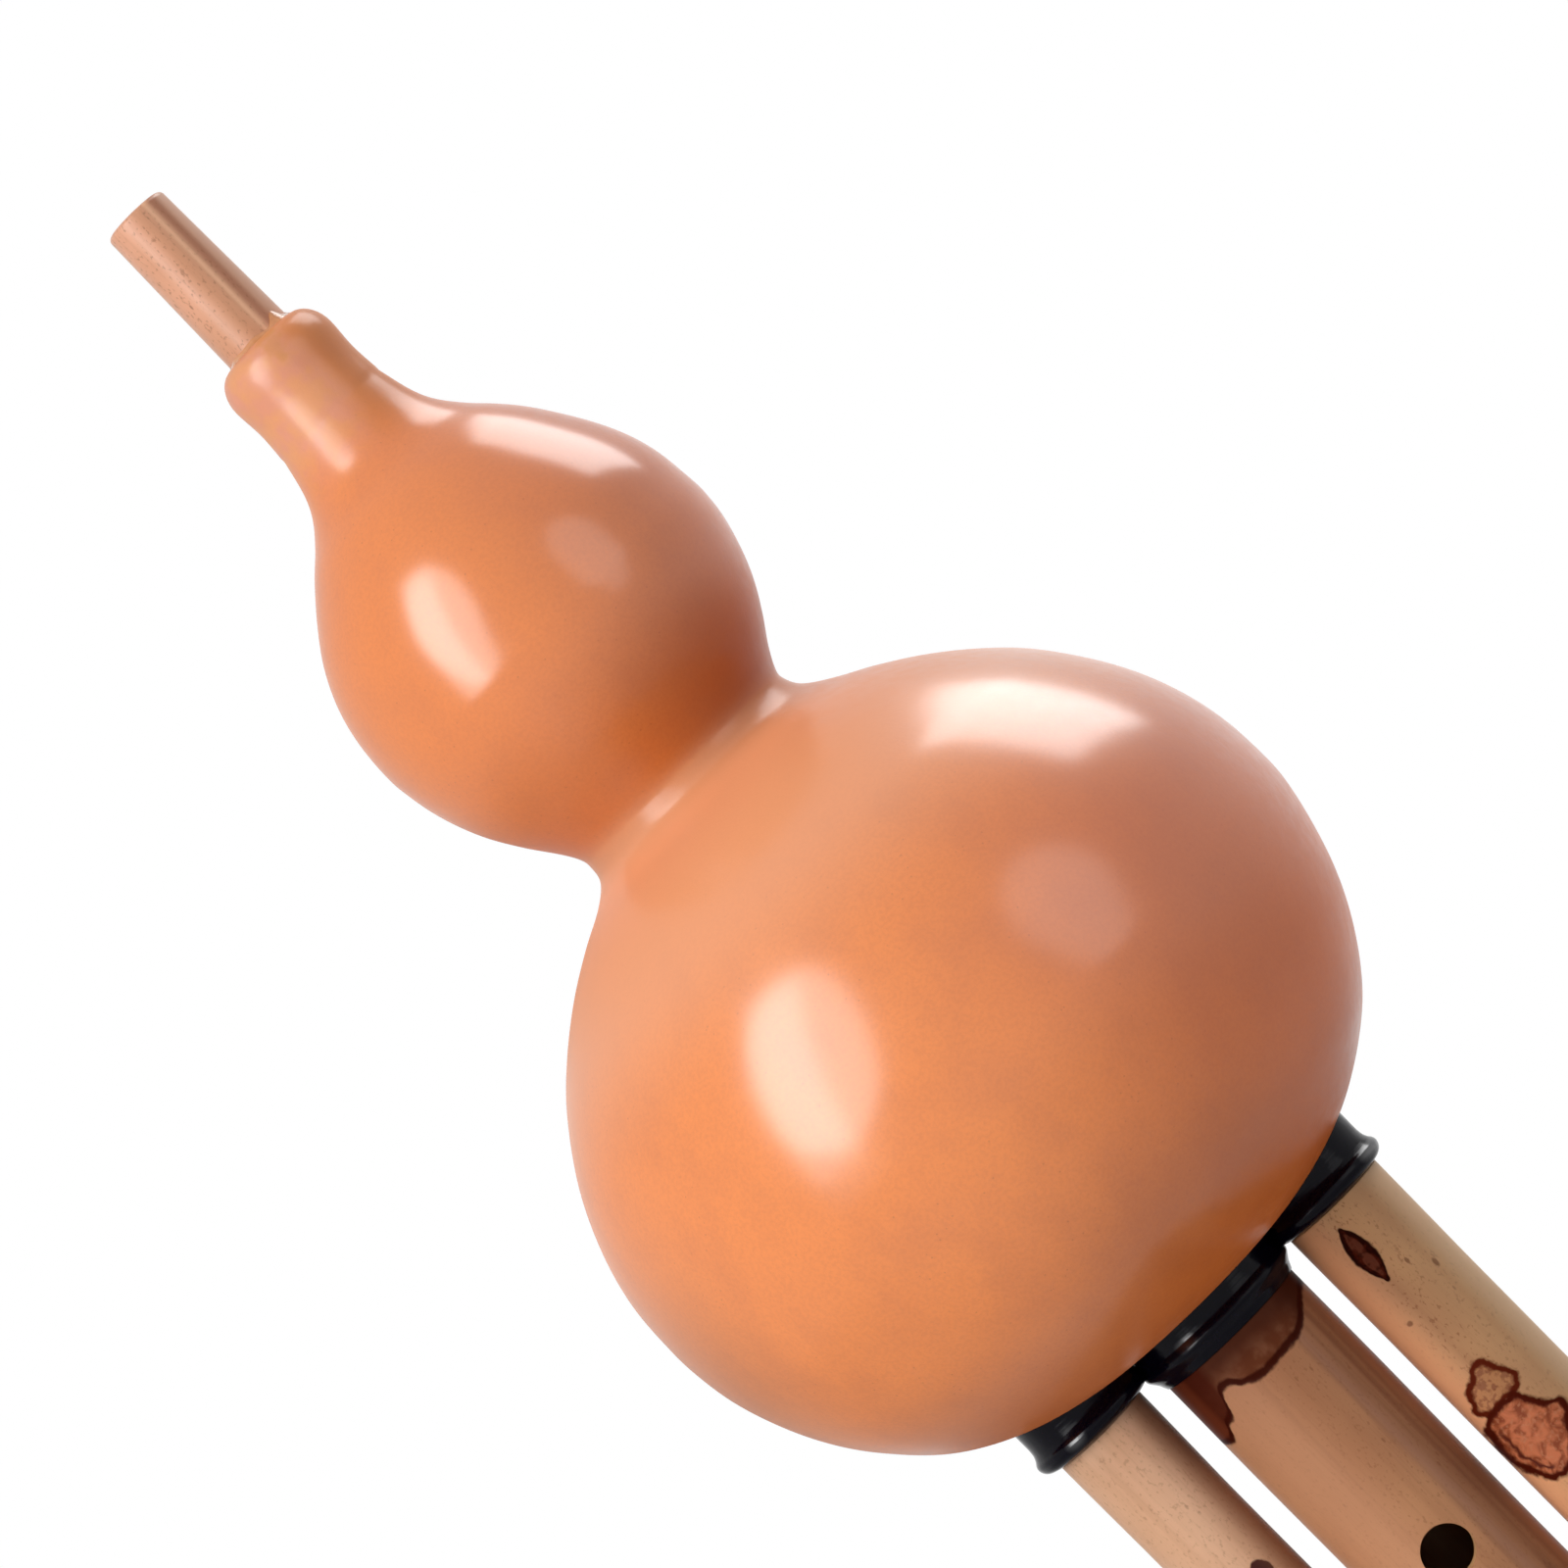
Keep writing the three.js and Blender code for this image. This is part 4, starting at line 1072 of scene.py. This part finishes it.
# The floor fades into the white background away from the middle
corners, grey = ground["corners"], ground["grey"]
turn = np.arange(corners) * 2 * np.pi / corners
rim = np.stack([ground["radius"] * np.cos(turn), ground["radius"] * np.sin(turn),
                np.full(corners, ground["level"])], 1)
floor = meshObject("floor", rim, np.arange(corners), np.array([corners]))
floorLook = Look("paleFloor")
floorLook.set(Base_Color=(grey, grey, grey, 1), Roughness=ground["roughness"],
              Normal=floorLook.bump(floorLook.noise(*ground["grain"]), *ground["bump"]))
away = floorLook.reach(floorLook.x, floorLook.y)
fade = floorLook.times(floorLook.ease(away, *ground["fade"]), seenRays(floorLook.tree))
glow = floorLook.node("ShaderNodeEmission", {"Strength": 1})
blend = floorLook.node("ShaderNodeMixShader", {0: fade, 1: floorLook.shader.outputs[0], 2: glow.outputs[0]})
floorLook.tree.links.new(blend.outputs[0], floorLook.tree.nodes["Material Output"].inputs["Surface"])
floor.data.materials.append(floorLook.material)


# A flat lamp that looks at the centre from its direction and distance.
def areaLight(name, direction, size, power, turn, shape):
    data = bpy.data.lights.new(name, "AREA")
    data.shape, data.energy = shape, power
    data.size, data.size_y = size
    lamp = bpy.data.objects.new(name, data)
    bpy.context.scene.collection.objects.link(lamp)
    away = Vector(direction).normalized()
    lamp.location = Vector(lightCentre) + away * lightDistance
    lamp.rotation_euler = away.to_track_quat("Z", "Y").to_euler()
    lamp.rotation_euler.rotate_axis("Z", math.radians(turn))


for name, values in lights.items():
    areaLight(name, *values)

# The lens is the distance times the sensor over the width that the picture shows
camera = bpy.data.cameras.new("camera")
camera.sensor_width = view["sensor"]
camera.lens = view["distance"] * view["sensor"] / (view["pixels"] / view["pixelsPerMm"] * mm)
camera.clip_start, camera.clip_end = view["clip"]
viewer = bpy.data.objects.new("camera", camera)
bpy.context.scene.collection.objects.link(viewer)
roll = math.radians(view["roll"])
across = Vector((math.cos(roll), 0, -math.sin(roll)))
up = Vector((math.sin(roll), 0, math.cos(roll)))
matrix = Matrix.Identity(4)
matrix.col[0][:3], matrix.col[1][:3], matrix.col[2][:3] = across, up, across.cross(up)
matrix.col[3][:3] = Vector(view["aim"]) - Vector((0, view["distance"], 0))
viewer.matrix_world = matrix
bpy.context.scene.camera = viewer
